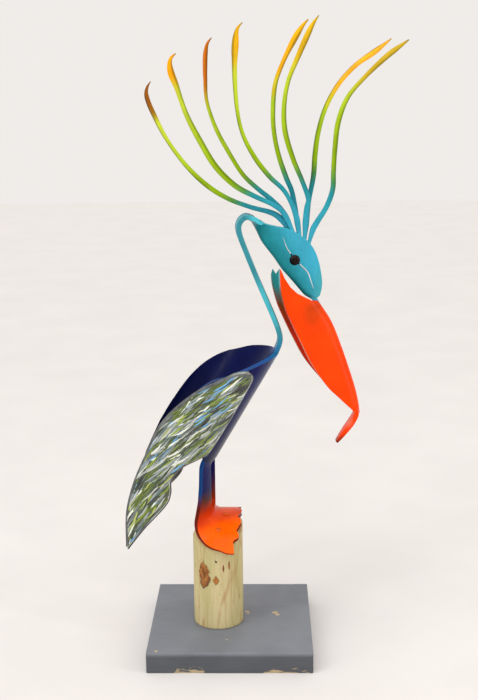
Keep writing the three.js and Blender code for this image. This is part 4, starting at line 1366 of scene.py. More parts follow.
@dataclass
class Bill:
    """The long pouch of the bill, a channel that narrows into a hooked strip."""

    rows: int = 84
    columns: int = 45
    edge_round: float = 1.0
    sight_drop: float = 0.16

    # Near edge x and z, back x and z, half the width, and how far left the far edge lies.
    STATIONS = (
        (88.5, 700, 108, 745, 31, 15), (89.0, 655, 121, 686, 30, 15), (92.3, 633, 131, 664, 29, 15),
        (99.7, 606.3, 144, 637, 28.5, 15), (110.7, 580.6, 157.7, 614.7, 28, 15), (125.0, 550.3, 178.8, 580.9, 27, 15),
        (144.9, 508.6, 197.0, 535.5, 25, 12), (170.8, 469.6, 214.0, 486.0, 22, 5), (191.0, 448.8, 222.5, 458.0, 20, 3),
        (209.0, 431.3, 227.5, 436.0, 18, 1), (214.5, 426.0, 229.2, 425.0, 17, 0), (218.0, 421.5, 230.0, 417.0, 16.5, 0),
    )
    TOP = ((60, 640), (74, 663), (77.5, 674), (83, 665), (88.5, 673), (91, 671), (97.7, 656), (107.4, 641),
           (119.3, 630), (133.4, 623), (144.4, 617.5), (152, 617), (158, 621), (164, 632), (172, 640))
    # Middle x and z, half thickness and half width.
    HOOK = ((218.5, 433.0, 3.4, 11), (223.0, 423.0, 4.1, 15), (222.7, 413.5, 4.8, 15.5), (214.4, 398.3, 5.2, 15.5),
            (204.6, 384.6, 4.6, 14), (197.0, 374.0, 3.8, 12), (190.0, 364.3, 2.6, 9))
    BRIDGE = ((143, 630, 4, 7), (150, 620, 4.5, 8), (156, 609, 4.5, 9), (164, 598, 4, 10))

    ORANGE = np.array(paint(255, 64, 0))
    TOP_BROWN = np.array(paint(176, 60, 8))
    BAND_TEAL = np.array(paint(46, 150, 150))
    BAND_BROWN = np.array(paint(138, 66, 14))
    RED = np.array(paint(222, 42, 6))
    EDGE = np.array(paint(250, 130, 84))
    TIP = np.array(paint(104, 30, 18))
    PINK_HIGHLIGHT = np.array(paint(240, 132, 104))

    def skin(self, wall: float) -> np.ndarray:
        """The channel's skin, that far inside the outer one."""
        turns = np.radians(np.linspace(-90, 90, self.columns))
        rows = []
        for edge_x, edge_z, back_x, back_z, half, lag in smooth_rows(self.STATIONS, self.rows):
            middle = edge_x - lag / 2
            deep = math.hypot(back_x - middle, back_z - edge_z)
            dx, dz = (back_x - middle) / deep, (back_z - edge_z) / deep
            normal = np.stack([np.cos(turns) / deep, np.sin(turns) / half])
            normal /= np.linalg.norm(normal, axis=0)
            depth = deep * np.cos(turns) - wall * normal[0]
            across = half * np.sin(turns) - wall * normal[1]
            shift = -lag * across / (2 * half)
            row = [middle + depth * dx + shift, PIPE.centre_y + across, edge_z + depth * dz]
            rows.append(np.stack(row, axis=-1))
        return np.array(rows)

    def channel(self) -> Surface:
        """The pouch before its top is cut."""
        outer, inner = self.skin(0), self.skin(PIPE.wall)
        sheet = Sheet(self.edge_round)
        sheet.grid(outer, inner, self.colours(outer))
        return sheet.closed()

    def colours(self, outer: np.ndarray) -> tuple:
        """The outer skin's, inner skin's and edge's colours."""
        z = outer[..., 2] + 5 * wobble(outer, 26, 8)
        spot = np.linalg.norm((outer - [146, 0, 600]) * [1, 0, 0.8], axis=-1)
        inside = fade(self.ORANGE, self.TOP_BROWN, ease(spot + 3 * wobble(outer, 26, 9), 34, 6) * 0.7)
        outside = ramp(z, [(560, self.RED), (610, self.BAND_BROWN), (640, self.BAND_TEAL), (670, self.BAND_TEAL * 1.3)])
        edge = ramp(z, [(440, self.RED * 0.8), (520, self.EDGE * 0.75), (600, self.RED), (636, self.BAND_BROWN),
                        (655, NeckAndHead.EDGE * 0.8)])
        return inside, outside, edge

    def top_cutter(self) -> Surface:
        """Everything above the line that the top is cut to."""
        return prism([*self.TOP, (172, 800), (60, 800)], "Y", -60, 110, self.sight_drop)

    def hook(self) -> Surface:
        """The hooked tip."""
        stations = smooth_rows(self.HOOK, 48)
        along = np.gradient(stations[:, :2], axis=0)
        along /= np.linalg.norm(along, axis=1)[:, None]
        sweep = Sweep()
        for (x, z, thick, half), (ax, az) in zip(stations, along):
            sweep.ring((x, PIPE.centre_y, z), (-az * thick, 0, ax * thick), (0, half, 0))
        surface = sweep.surface()
        share = ease(surface.points[:, 2] - 0.5 * surface.points[:, 0], 284, 266)
        surface.colours = fade(self.ORANGE * 0.92, self.TIP, share)
        # Painted highlight: a pinkish glow on the hook's upper inner face.
        inner = np.linalg.norm((surface.points - [207, 5, 405]) * [1, 0.7, 0.8], axis=1)
        surface.colours = fade(surface.colours, self.PINK_HIGHLIGHT, ease(inner, 13, 4) * 0.55)
        return surface

    def bridge(self) -> Surface:
        """The wall that joins the head's tip to the bill's back."""
        sweep = Sweep()
        for x, z, thick, half in smooth_rows(self.BRIDGE, 16):
            sweep.ring((x, PIPE.centre_y, z), (thick * 0.7, 0, thick * 0.7), (0, half, 0))
        surface = sweep.surface()
        surface.colours = ramp(surface.points[:, 2], [(600, self.ORANGE), (614, self.TOP_BROWN), (620, NeckAndHead.PALE)])
        return surface


class Sweep:
    """A strip with rounded edges through rings that it is given."""

    SIDES = 28
    POWER = 5.0

    def __init__(self) -> None:
        """Starts with no rings."""
        self.rings: list = []

    def ring(self, centre: Point, thick: Point, wide: Point) -> None:
        """Adds a ring round the centre, from half its thickness and half its width."""
        turns = np.linspace(0, 2 * math.pi, self.SIDES, endpoint=False)
        size = (np.abs(np.cos(turns)) ** self.POWER + np.abs(np.sin(turns)) ** self.POWER) ** (-1 / self.POWER)
        first, second = np.cos(turns) * size, np.sin(turns) * size
        self.rings.append(np.array(centre) + np.outer(first, thick) + np.outer(second, wide))

    def surface(self) -> Surface:
        """The closed strip, its ends a little rounded."""
        rings = list(self.rings)
        for end, beside in ((0, 1), (-1, -2)):
            centre = rings[end].mean(axis=0)
            out = centre - rings[beside].mean(axis=0)
            out /= np.linalg.norm(out)
            cap = centre + (rings[end] - centre) * 0.9 + out * 0.7
            rings.insert(0 if end == 0 else len(rings), cap)
        count = self.SIDES
        points = np.vstack(rings)
        faces = [
            (i * count + j, i * count + (j + 1) % count, (i + 1) * count + (j + 1) % count, (i + 1) * count + j)
            for i in range(len(rings) - 1)
            for j in range(count)
        ]
        faces.append(tuple(reversed(range(count))))
        faces.append(tuple(range(len(points) - count, len(points))))
        return Surface(points, faces, np.zeros_like(points))


@dataclass
class Crest:
    """Eight fingers, four from each wall of the fold, numbered from the back."""

    width: float = 9.2
    depth: float = 8.0
    corner: float = 2.2
    steps: int = 84

    NEAR_Y = PIPE.centre_y - NeckAndHead.fold_radius
    ROOT_Y = NEAR_Y + 1.0
    FAR_Y = PIPE.centre_y + NeckAndHead.fold_radius

    # Each finger's points as x, y and z from its root to its tip.
    FINGERS = (
        ((112, FAR_Y, 726), (96, 25, 753), (78, 27, 768), (39, 29, 779), (0, 31, 794), (-36, 34, 817),
         (-71, 38, 851), (-103, 43, 895), (-124, 48, 936), (-133, 51, 957), (-136, 53, 971), (-133.4, 54, 982),
         (-128, 54, 990)),
        ((116, ROOT_Y, 728), (98, NEAR_Y, 767), (78, 13, 784), (46, 11, 799), (14, 9, 817), (-18, 7, 849),
         (-43, 3, 891), (-65, 0, 935), (-80, -5, 980), (-87.6, -8, 1000), (-90.2, -9, 1015), (-87.7, -10, 1026),
         (-80, -10, 1033)),
        ((117, FAR_Y, 722), (98, 25, 766), (78, 28, 789), (52, 31, 810), (27, 34, 834), (4, 38, 870),
         (-18, 43, 911), (-33, 49, 956), (-35.3, 54, 995), (-35.5, 58, 1015), (-34.8, 61, 1034), (-31.5, 63, 1051),
         (-24, 64, 1061)),
        ((125, ROOT_Y, 717), (119, NEAR_Y, 758), (109, 12, 787), (95, 10, 810), (72, 8, 832), (47, 4, 865),
         (28, 0, 903), (19, -5, 946), (16, -13, 1006), (18.5, -20, 1056), (22.6, -23, 1072), (30, -24, 1080)),
        ((124, FAR_Y, 716), (113, 26, 795), (101, 27, 828), (89, 30, 863), (81, 34, 901), (79, 38, 939),
         (83, 44, 983), (97, 51, 1021), (115, 58, 1056), (129, 62, 1078), (139, 64, 1089)),
        ((131, ROOT_Y, 712), (135, 14, 774), (138, 12, 793), (127, 10, 825), (112, 8, 861), (99, 4, 905),
         (97, 0, 946), (104, -5, 988), (121, -12, 1029), (133, -16, 1056), (143, -19, 1076), (153, -20, 1090)),
        ((131, FAR_Y, 710), (139, 26, 785), (147, 27, 830), (150, 30, 869), (156, 33, 907), (168, 36, 945),
         (189, 40, 982), (217, 45, 1012), (246, 50, 1032), (264, 53, 1045), (278, 54, 1056)),
        ((136, ROOT_Y, 703), (145, NEAR_Y, 738), (153, 13.5, 754), (169, 13, 780), (179, 12, 809), (180, 10, 838),
         (182, 9, 876), (187, 6, 920), (202, 4, 960), (230, 1, 993), (262, -3, 1023), (283, -5, 1039), (300, -6, 1051)),
    )
    # How thick the fingers are along their length, as a share of the width.
    GIRTH = ((0.0, 0.7), (0.05, 0.84), (0.1, 1.25), (0.19, 1.0), (0.34, 1.0), (0.5, 0.92), (0.72, 0.76), (0.86, 0.84),
             (0.93, 0.8), (0.97, 0.5), (1.0, 0.16))
    # What each finger has more than that at its middle and just below its tip.
    SWELL = ((0.06, 0.02), (0.3, 0.34), (-0.06, 0.06), (-0.1, 0.36), (0.0, 0.24), (0.04, 0.1), (0.05, 0.2), (0.04, 0.06))
    # How far each finger's blade is turned about itself at its tip, in degrees.
    TWIST = (40, 60, 20, 45, -50, -55, 40, 45)
    # Each finger's paint at its tip.
    TIPS = (paint(150, 86, 14), paint(244, 160, 6), paint(190, 100, 10), paint(228, 172, 14), paint(232, 168, 12),
            paint(214, 170, 24), paint(244, 178, 40), paint(196, 164, 36))
    SHADE = np.array((0.45, 0.5, 0.3))
    # Where along each finger that paint begins.
    TIP_FROM = (0.78, 0.78, 0.7, 0.77, 0.62, 0.72, 0.58, 0.66)
    # The paint from root to tip.
    FADE = (
        (0.00, np.array(paint(58, 158, 182))), (0.15, np.array(paint(48, 152, 172))), (0.27, np.array(paint(36, 140, 150))),
        (0.32, np.array(paint(76, 140, 70))), (0.38, np.array(paint(134, 166, 14))), (0.60, np.array(paint(164, 190, 34))),
        (0.78, np.array(paint(190, 204, 52))),
    )

    def paths(self) -> bpy.types.Object:
        """The fingers' paths as a mesh of lines with their turn, size and place along."""
        points, edges, across, size, along, number, centres = [], [], [], [], [], [], []
        for index, (keys, twist) in enumerate(zip(self.FINGERS, self.TWIST)):
            line = even_rows(keys, self.steps)
            tangent = np.gradient(line, axis=0)
            tangent /= np.linalg.norm(tangent, axis=1)[:, None]
            share = np.linspace(0, 1, self.steps)
            for n, (place, way, t) in enumerate(zip(line, tangent, share)):
                if n:
                    edges.append((len(points) - 1, len(points)))
                points.append(place * MM)
                side = Vector((0, 1, 0)).cross(Vector(way)).normalized()
                side.rotate(Matrix.Rotation(math.radians(twist) * t * t, 3, Vector(way)))
                across.extend(side)
                middle, flare = self.SWELL[index]
                girth = float(np.interp(t, *zip(*self.GIRTH))) + 0.05 * math.sin(17 * t + 2.4 * index)
                girth += middle * math.exp(-((t - 0.52) / 0.16) ** 2) + flare * math.exp(-((t - 0.9) / 0.05) ** 2)
                size.append(girth)
                centres.extend(place * MM)
                along.append(t)
                number.append(index)
        mesh = bpy.data.meshes.new("crest")
        mesh.from_pydata([tuple(p) for p in points], edges, [])
        mesh.attributes.new("across", "FLOAT_VECTOR", "POINT").data.foreach_set("vector", across)
        mesh.attributes.new("centre", "FLOAT_VECTOR", "POINT").data.foreach_set("vector", centres)
        mesh.attributes.new("size", "FLOAT", "POINT").data.foreach_set("value", size)
        mesh.attributes.new("along", "FLOAT", "POINT").data.foreach_set("value", along)
        mesh.attributes.new("number", "FLOAT", "POINT").data.foreach_set("value", number)
        piece = bpy.data.objects.new("crest", mesh)
        bpy.context.scene.collection.objects.link(piece)
        return piece

    def build(self) -> bpy.types.Object:
        """Grows the fingers along their paths."""
        piece = self.paths()
        growth = Growth("fingers_along_paths")
        for name in ("Width", "Depth", "Corner"):
            growth.input(name)
        growth.input("Finish", "NodeSocketMaterial")
        curve = growth.node("GeometryNodeMeshToCurve", {"Mesh": growth.given("Geometry")}).outputs[0]
        turned = growth.node("GeometryNodeSetCurveNormal", {
            "Curve": curve, "Normal": growth.attribute("across", "FLOAT_VECTOR")}, mode="FREE").outputs[0]
        section = growth.node("GeometryNodeCurvePrimitiveQuadrilateral", {
            "Width": growth.given("Depth"), "Height": growth.given("Width")}).outputs[0]
        rounded = growth.node("GeometryNodeFilletCurve", {
            "Curve": section, "Count": 3, "Radius": growth.given("Corner")}, mode="POLY").outputs[0]
        fingers = growth.node("GeometryNodeCurveToMesh", {
            "Curve": turned, "Profile Curve": rounded, "Scale": growth.attribute("size"), "Fill Caps": True}).outputs[0]
        growth.end(fingers, growth.given("Finish"))
        growth.apply(piece, {"Width": self.width * MM, "Depth": self.depth * MM, "Corner": self.corner * MM,
                             "Finish": Finish.GLOSS.material()})
        mesh = piece.data
        along = np.empty(len(mesh.vertices))
        mesh.attributes["along"].data.foreach_get("value", along)
        place = np.empty(len(mesh.vertices) * 3)
        mesh.vertices.foreach_get("co", place)
        number = np.empty(len(mesh.vertices))
        mesh.attributes["number"].data.foreach_get("value", number)
        spots = place.reshape(-1, 3) / MM
        centre = np.empty(len(mesh.vertices) * 3)
        mesh.attributes["centre"].data.foreach_get("vector", centre)
        offset = (place - centre).reshape(-1, 3) / MM
        uneven = along + 0.015 * wobble(spots, 40, 12)
        colours = ramp(uneven, list(self.FADE))
        tips = np.array(self.TIPS)[np.clip(np.round(number), 0, 7).astype(int)]
        start = np.array(self.TIP_FROM)[np.clip(np.round(number), 0, 7).astype(int)]
        share = ease(along + 0.05 * wobble(spots, 26, 3) - start, 0, 0.13)
        colours = fade(colours, tips, share)
        shaded = np.where(np.round(number) % 3 == 0, -1, 1) * offset[:, 0] + 0.8 * wobble(spots, 30, 21)
        colours = fade(colours, colours * self.SHADE, ease(shaded, 0.6, 2.6) * ease(along, 0.2, 0.32))
        write_paint(mesh, fade(colours, np.array(paint(86, 92, 34)), ease(along, 0.975, 1.0) * 0.6))
        return piece


@dataclass
class Bird:
    """The whole bird, formed from one piece of pipe wall."""

    NODES = ("bird_legs_and_foot", "bird_body", "bird_neck", "bird_head", "bird_bill",
             *(f"bird_crest_{n}" for n in range(1, 9)))

    def build(self) -> bpy.types.Object:
        """Joins every part of the bird and cuts its slots."""
        bill = Bill()
        head = NeckAndHead()
        body = Breast().surface().build("pelican_bird")
        pouch = bill.channel().build("pouch")
        parts = [head.surface().build("head"), bill.hook().build("hook"), bill.bridge().build("bridge"), Crest().build()]
        uncut = PaintMemory([pouch])
        combine(pouch, bill.top_cutter().build("top"), "DIFFERENCE")
        uncut.repaint(pouch)
        memory = PaintMemory([body, pouch, *parts])
        combine(body, Legs().slot().build("slot"), "DIFFERENCE")
        for part in (pouch, *parts):
            combine(body, part, "UNION")
        combine(body, head.slit().build("slit"), "DIFFERENCE")
        combine(body, EyeBead().ball(0.3).build("socket"), "DIFFERENCE")
        for screw in SCREWS:
            combine(body, screw.hole().build("hole"), "DIFFERENCE")
        memory.repaint(body)
        smooth(body.data, 38)
        dress(body, Finish.GLOSS)
        return declare(body, "body_paint", *self.NODES)


class PaintMemory:
    """Remembers the paint on parts, for the piece that they are joined into."""

    def __init__(self, parts: list) -> None:
        """Notes the place and paint of each point of the parts."""
        self.colours = []
        self.tree = KDTree(sum(len(part.data.vertices) for part in parts))
        for part in parts:
            layer = part.data.color_attributes["paint"].data
            for vertex in part.data.vertices:
                self.tree.insert(vertex.co, len(self.colours))
                self.colours.append(tuple(layer[vertex.index].color)[:3])
        self.tree.balance()

    def repaint(self, piece: bpy.types.Object) -> None:
        """Paints each point of the piece as the nearest one remembered."""
        found = [self.colours[self.tree.find(vertex.co)[1]] for vertex in piece.data.vertices]
        write_paint(piece.data, np.array(found))


@dataclass
class EyeBead:
    """The round bead in the slit, with a faint moulding seam."""

    rings: int = 40
    sides: int = 56

    def ball(self, gap: float = 0.0, seam: float = 0.0) -> Surface:
        """The bead's surface, larger by a gap all round."""
        turns = np.linspace(0, 2 * math.pi, self.sides, endpoint=False)
        polar = np.linspace(0, math.pi, self.rings)[1:-1]
        centre = np.array([EYE_X, PIPE.centre_y, EYE_Z])
        radius = EYE_RADIUS + gap
        points = [centre + [0, -radius, 0]]
        for angle in polar:
            size = radius + seam * math.exp(-((angle - math.pi / 2) / 0.05) ** 2)
            ring = np.stack([np.cos(turns) * math.sin(angle), np.full_like(turns, -math.cos(angle)),
                             np.sin(turns) * math.sin(angle)], axis=1)
            points.extend(centre + ring * size)
        points.append(centre + [0, radius, 0])
        count = self.sides
        faces = [(0, 1 + (n + 1) % count, 1 + n) for n in range(count)]
        for ring in range(len(polar) - 1):
            a = 1 + ring * count
            faces += [(a + n, a + (n + 1) % count, a + (n + 1) % count + count, a + n + count) for n in range(count)]
        last = 1 + (len(polar) - 1) * count
        faces += [(last + n, last + (n + 1) % count, len(points) - 1) for n in range(count)]
        array = np.array(points)
        return Surface(array, faces, np.zeros_like(array))

    def build(self) -> bpy.types.Object:
        """Makes the bead."""
        piece = self.ball(seam=0.12).build("eye_bead_gloss", 180)
        dress(piece, Finish.BEAD)
        return declare(piece, "eye_glass", "eye_bead")


# Wings


@dataclass
class Wing:
    """A leaf of pipe wall on the side of the breast, covered in brush strokes."""

    side: int
    wall: float = 7.7
    gap: float = 0.3
    far_turn: float = 8.0
    border: float = 1.5
    rows: int = 110
    columns: int = 30
    edge_round: float = 1.4
    seed: int = 11

    # The outline as angles and distances down the pipe, from the top to the tip.
    REAR = ((49, 40), (60, 49), (68, 66), (84.5, 110), (96, 177), (94.4, 243), (90.7, 302), (82.5, 355), (66.5, 410))
    FRONT = ((49, 40), (44, 46), (42, 62), (41.2, 135), (43, 196), (50, 212), (61.5, 237), (63.8, 266), (58.1, 288),
             (55.9, 312), (62.5, 362), (66.5, 410))

    GROUND = np.array(paint(88, 98, 92))
    MOSS = np.array(paint(58, 76, 40))
    GREY = np.array(paint(108, 112, 112))
    EDGE_SHADE = np.array(paint(46, 50, 52))
    HIGHLIGHT_LINE = np.array(paint(206, 214, 206))
    GREEN = np.array(paint(104, 128, 28))

    @property
    def radius(self) -> float:
        """The outer skin's radius round the pipe's axis."""
        return PIPE.radius + self.gap + self.wall

    def plan(self) -> np.ndarray:
        """The leaf's grid of angles and distances."""
        rear, front = smooth_rows(self.REAR, 300), smooth_rows(self.FRONT, 300)
        rear[:, 1], front[:, 1] = np.maximum.accumulate(rear[:, 1]), np.maximum.accumulate(front[:, 1])
        share = np.linspace(0, 1, self.rows)
        along = 40.6 + (409.2 - 40.6) * (0.86 * share + 0.14 * (1 - np.cos(share * math.pi)) / 2)
        high = np.interp(along, rear[:, 1], rear[:, 0])
        low = np.interp(along, front[:, 1], front[:, 0])
        middle, half = (high + low) / 2, np.maximum((high - low) / 2, 0.5)
        high, low = middle + half, middle - half
        rim = np.minimum(self.border, 0.3 * (high - low))[:, None]
        near = low[:, None] + rim * np.linspace(0, 1, 8)[:-1]
        far = high[:, None] - rim * np.linspace(1, 0, 8)[1:]
        middle = low[:, None] + rim + (high - low - 2 * rim.ravel())[:, None] * np.linspace(0, 1, self.columns)
        angle = np.hstack([near, middle, far])
        return np.stack([angle, np.broadcast_to(along[:, None], angle.shape)], axis=-1)

    def placed(self, plan: np.ndarray, radius: float) -> np.ndarray:
        """Points of the plan on the pipe, on this wing's side."""
        turn = 0 if self.side > 0 else self.far_turn
        return PIPE.point(self.side * (plan[..., 0] - turn), plan[..., 1], radius)

    def leaf(self) -> bpy.types.Object:
        """The wing's wall."""
        plan = self.plan()
        turn = plan[..., 0]
        front = np.radians(turn - turn[:, :1]) * self.radius
        rear = np.radians(turn[:, -1:] - turn) * self.radius
        bead = 0.9 * np.exp(-((front - 2.0) / 1.5) ** 2)
        outer, inner = self.placed(plan, self.radius + bead), self.placed(plan, self.radius - self.wall)
        patch = ease(wobble(outer, 18, 15), -0.3, 0.4)
        face = fade(self.GROUND, self.MOSS, patch)
        face = fade(face, self.GREY * 0.8, ease(rear, 6.0, 3.0))
        # Painted shade and highlight along the raised front bead: a dark band at the very edge, a pale line on the
        # bead's crest, then green paint.
        band = ramp(front, [(0.0, self.EDGE_SHADE), (1.4, self.EDGE_SHADE), (2.0, self.HIGHLIGHT_LINE), (2.8, self.HIGHLIGHT_LINE), (3.6, self.GREEN),
                            (5.6, self.GREEN * 0.7)])
        broken = ease(wobble(outer, 34, 8), -0.5, 0.1)
        band = fade(self.GREY * 0.7, band, broken)
        face = fade(face, band, ease(front, 6.2, 4.8))
        # Painted shade darkens the cut edge lower down the wing, and a painted highlight lightens it near the top.
        edge = fade(self.GREY * 0.7, self.EDGE_SHADE, ease(plan[..., 1], 180, 260))
        edge = fade(edge, self.HIGHLIGHT_LINE * 0.6, ease(plan[..., 1], 58, 44))
        sheet = Sheet(self.edge_round)
        # Painted shade: the inner skin against the breast is the ground paint darkened.
        sheet.grid(outer, inner, (face, self.GROUND * 0.4, edge))
        name = "near" if self.side > 0 else "far"
        return sheet.closed().build(f"feathered_wing_{name}")

    def flat_leaf(self) -> bpy.types.Object:
        """The outer skin unrolled flat: x round the pipe, y down it, in metres."""
        plan = self.plan()[3:-3, 5:-4]
        flat = np.stack([np.radians(plan[..., 0]) * self.radius, plan[..., 1], np.zeros(plan.shape[:2])], axis=-1)
        rows, columns = flat.shape[:2]
        number = np.arange(rows * columns).reshape(rows, columns)
        faces = [
            (int(number[i, j]), int(number[i, j + 1]), int(number[i + 1, j + 1]), int(number[i + 1, j]))
            for i in range(rows - 1)
            for j in range(columns - 1)
        ]
        mesh = bpy.data.meshes.new("flat_leaf")
        mesh.from_pydata((flat.reshape(-1, 3) * MM).tolist(), [], faces)
        across = np.broadcast_to(np.linspace(0, 1, columns), (rows, columns))
        along = plan[..., 1]
        flow = np.interp(along, [40, 120, 260, 410], [34, 30, 16, -6]) - 14 * (across - 0.5)
        room = 1 - 0.45 * np.maximum(ease(along, 360, 408), ease(-along, -75, -42))
        mesh.attributes.new("flow", "FLOAT", "POINT").data.foreach_set("value", np.radians(flow).ravel())
        mesh.attributes.new("room", "FLOAT", "POINT").data.foreach_set("value", room.ravel())
        leaf = bpy.data.objects.new("strokes", mesh)
        bpy.context.scene.collection.objects.link(leaf)
        return leaf

    def strokes(self) -> bpy.types.Object:
        """Scatters brush strokes over the flat leaf and rolls them onto the pipe."""
        leaf = self.flat_leaf()
        growth = Growth("brush_strokes")
        for name in ("Length", "Width", "Lift", "Spacing", "Radius", "Lean", "Top X", "Top Z", "Axis Y", "Side", "Turn"):
            growth.input(name)
        growth.input("Seed", "NodeSocketInt")
        growth.input("Finish", "NodeSocketMaterial")
        given = growth.given
        seed = given("Seed")
        leaf_given = given("Geometry")
        spots = growth.node("GeometryNodeDistributePointsOnFaces", {
            "Mesh": leaf_given, "Distance Min": given("Spacing"), "Density Max": 120000.0, "Seed": seed,
        }, distribute_method="POISSON").outputs["Points"]
        turn = growth.math("ADD", growth.math("MULTIPLY", growth.attribute("flow"), -1.0), growth.random(-0.22, 0.22, seed))
        rotation = growth.together(0.0, 0.0, turn)
        stretch = growth.math("MULTIPLY", growth.random(0.55, 1.35, growth.math("ADD", seed, 1)), growth.attribute("room"))
        size = growth.together(growth.random(0.55, 1.3, growth.math("ADD", seed, 2)), stretch, growth.random(0.5, 1.3, growth.math("ADD", seed, 3)))
        dab = self.dab(growth)
        placed = growth.node("GeometryNodeInstanceOnPoints", {
            "Points": spots, "Instance": dab, "Rotation": rotation, "Scale": size}).outputs[0]
        placed = growth.keep(placed, "tone", growth.random(0.0, 1.0, growth.math("ADD", seed, 4)), "INSTANCE")
        placed = growth.keep(placed, "shade", growth.random(0.0, 1.0, growth.math("ADD", seed, 5)), "INSTANCE")
        real = growth.node("GeometryNodeRealizeInstances", {"Geometry": placed}).outputs[0]
        place = growth.node("GeometryNodeInputPosition").outputs[0]
        nearest = growth.node("GeometryNodeProximity", {0: leaf_given}, target_element="FACES").outputs["Position"]
        height = growth.parts(place)[2]
        near_x, near_y, _ = growth.parts(nearest)
        rolled = self.rolled(growth, near_x, near_y, height)
        moved = growth.node("GeometryNodeSetPosition", {"Geometry": real, "Position": rolled}).outputs[0]
        growth.end(moved, given("Finish"))
        growth.apply(leaf, {
            "Length": 23.0 * MM, "Width": 2.5 * MM, "Lift": 0.7 * MM, "Spacing": 5.9 * MM, "Radius": self.radius * MM,
            "Lean": PIPE.lean, "Top X": PIPE.top_x * MM, "Top Z": PIPE.top_z * MM, "Axis Y": PIPE.centre_y * MM,
            "Side": float(self.side), "Turn": 0.0 if self.side > 0 else math.radians(self.far_turn),
            "Seed": self.seed + self.side, "Finish": Finish.STROKES.material()})
        return leaf

    def dab(self, growth: Growth) -> bpy.types.NodeSocket:
        """One stroke: a flat lens, pointed at its end and a little bowed."""
        ball = growth.node("GeometryNodeMeshUVSphere", {"Segments": 8, "Rings": 6, "Radius": 1.0}).outputs["Mesh"]
        x, y, z = growth.parts(growth.node("GeometryNodeInputPosition").outputs[0])
        blunt = growth.math("POWER", growth.math("MAXIMUM", growth.math("SUBTRACT", 1.0, growth.math("ABSOLUTE", z)), 0.0), 0.25)
        bow = growth.math("MULTIPLY", growth.math("MULTIPLY", z, z), 1.2)
        wide = growth.math("MULTIPLY", growth.math("ADD", growth.math("MULTIPLY", x, blunt), bow), growth.given("Width"))
        long = growth.math("MULTIPLY", z, growth.given("Length"))
        flat = growth.math("POWER", growth.math("ABSOLUTE", y), 0.4)
        high = growth.math("MULTIPLY", growth.math("MULTIPLY", growth.math("SIGN", y), flat), growth.given("Lift"))
        shaped = growth.together(wide, long, high)
        ball = growth.keep(ball, "across", x)
        return growth.node("GeometryNodeSetPosition", {"Geometry": ball, "Position": shaped}).outputs[0]

    def rolled(self, growth: Growth, x, y, height) -> bpy.types.NodeSocket:
        """Where a point of the flat leaf lies on the leaning pipe."""
        given = growth.given
        radius = growth.math("ADD", given("Radius"), height)
        angle = growth.math("SUBTRACT", growth.math("DIVIDE", x, given("Radius")), given("Turn"))
        sine, cosine = growth.math("SINE", given("Lean")), growth.math("COSINE", given("Lean"))
        pipe = PIPE.radius * MM
        depth = growth.math("SUBTRACT", pipe, growth.math("MULTIPLY", radius, growth.math("COSINE", angle)))
        left = growth.math("ADD", growth.math("MULTIPLY", y, sine), growth.math("MULTIPLY", depth, cosine))
        fall = growth.math("SUBTRACT", growth.math("MULTIPLY", y, cosine), growth.math("MULTIPLY", depth, sine))
        out = growth.math("MULTIPLY", growth.math("MULTIPLY", radius, growth.math("SINE", angle)), given("Side"))
        return growth.together(
            growth.math("SUBTRACT", given("Top X"), left),
            growth.math("SUBTRACT", given("Axis Y"), out),
            growth.math("SUBTRACT", given("Top Z"), fall))

    def build(self) -> bpy.types.Object:
        """Makes the wing and joins its strokes to it."""
        piece = self.leaf()
        dress(piece, Finish.GROUND)
        strokes = self.strokes()
        with bpy.context.temp_override(active_object=piece, selected_editable_objects=[piece, strokes]):
            bpy.ops.object.join()
        work = bmesh.new()
        work.from_mesh(piece.data)
        bmesh.ops.recalc_face_normals(work, faces=work.faces)
        work.to_mesh(piece.data)
        work.free()
        smooth(piece.data, 50)
        node = "wing_near" if self.side > 0 else "wing_far"
        return declare(piece, "wing_paint", node)


# Studio


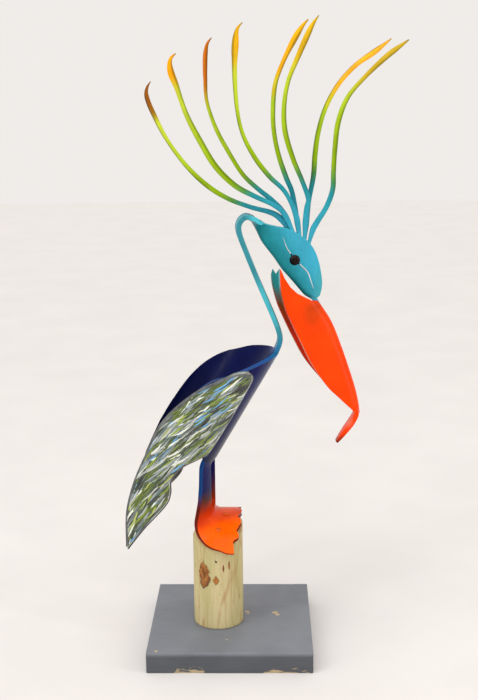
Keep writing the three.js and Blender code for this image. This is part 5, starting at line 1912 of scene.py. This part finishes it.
@dataclass
class Studio:
    """The camera as the photograph was taken, soft light and a pale floor."""

    focal_pixels: float = 1151.7
    frame_pixels: tuple[int, int] = (478, 700)
    place: Point = (60.9, -1947.4, 962.0)
    tilt: float = math.radians(12.37)
    yaw: float = math.radians(-1.25)
    roll: float = math.radians(-0.58)
    wall: Colour = paint(240, 236, 233)
    sky_strength: float = 1.5

    def camera(self) -> None:
        """Places the camera."""
        forward = Vector((
            math.sin(self.yaw) * math.cos(self.tilt), math.cos(self.yaw) * math.cos(self.tilt), -math.sin(self.tilt)))
        level = Vector((math.cos(self.yaw), -math.sin(self.yaw), 0))
        upright = level.cross(forward)
        right = math.cos(self.roll) * level + math.sin(self.roll) * upright
        up = -math.sin(self.roll) * level + math.cos(self.roll) * upright
        lens = bpy.data.cameras.new("camera")
        lens.lens = self.focal_pixels / max(self.frame_pixels) * lens.sensor_width
        camera = bpy.data.objects.new("camera", lens)
        turn = Matrix((right, up, -forward)).transposed().to_4x4()
        camera.matrix_world = Matrix.Translation(Vector(self.place) * MM) @ turn
        bpy.context.scene.collection.objects.link(camera)
        bpy.context.scene.camera = camera

    def lamp(self, name: str, place: Point, size: tuple, watts: float, colour: Colour = (1, 1, 1)) -> None:
        """Adds a soft box that faces the middle of the bird."""
        light = bpy.data.lights.new(name, "AREA")
        light.shape = "RECTANGLE"
        light.size, light.size_y = size
        light.energy = watts
        light.color = colour
        box = bpy.data.objects.new(name, light)
        box.location = place
        aim = Vector((0.05, 0.02, 0.5)) - Vector(place)
        box.rotation_euler = aim.to_track_quat("-Z", "Y").to_euler()
        bpy.context.scene.collection.objects.link(box)

    def light(self) -> None:
        """Hangs the lights and sets the room's brightness."""
        world = bpy.data.worlds.new("room")
        world.use_nodes = True
        world.node_tree.nodes["Background"].inputs["Color"].default_value = rgba(self.wall)
        world.node_tree.nodes["Background"].inputs["Strength"].default_value = 1.0
        bpy.context.scene.world = world
        sky = bpy.data.lights.new("sky", "SUN")
        sky.energy = self.sky_strength
        sky.angle = math.radians(70)
        high = bpy.data.objects.new("sky", sky)
        high.rotation_euler = Vector((0.25, 0.55, -1.0)).to_track_quat("-Z", "Y").to_euler()
        bpy.context.scene.collection.objects.link(high)
        self.lamp("left_strip", (-1.7, -1.5, 1.5), (0.14, 1.8), 11)
        self.lamp("right_strip", (2.0, -0.9, 1.3), (0.14, 2.0), 11)
        bpy.context.scene.view_settings.view_transform = "Standard"

    def floor(self) -> None:
        """Lays the floor."""
        reach = 9.0
        mesh = bpy.data.meshes.new("floor")
        corners = [(-reach, -reach, 0), (reach, -reach, 0), (reach, reach, 0), (-reach, reach, 0)]
        mesh.from_pydata(corners, [], [(0, 1, 2, 3)])
        floor = bpy.data.objects.new("floor", mesh)
        bpy.context.scene.collection.objects.link(floor)
        dress(floor, Finish.FLOOR)


def main() -> None:
    """Builds the statue from the ground up."""
    logging.basicConfig(level=logging.INFO, format="%(name)s %(message)s")
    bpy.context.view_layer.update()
    studio = Studio()
    studio.camera()
    studio.light()
    studio.floor()
    Board().build()
    Post().build()
    ScrewSet().build()
    Bird().build()
    EyeBead().build()
    for side in (1, -1):
        Wing(side).build()


if __name__ == "__main__":
    main()
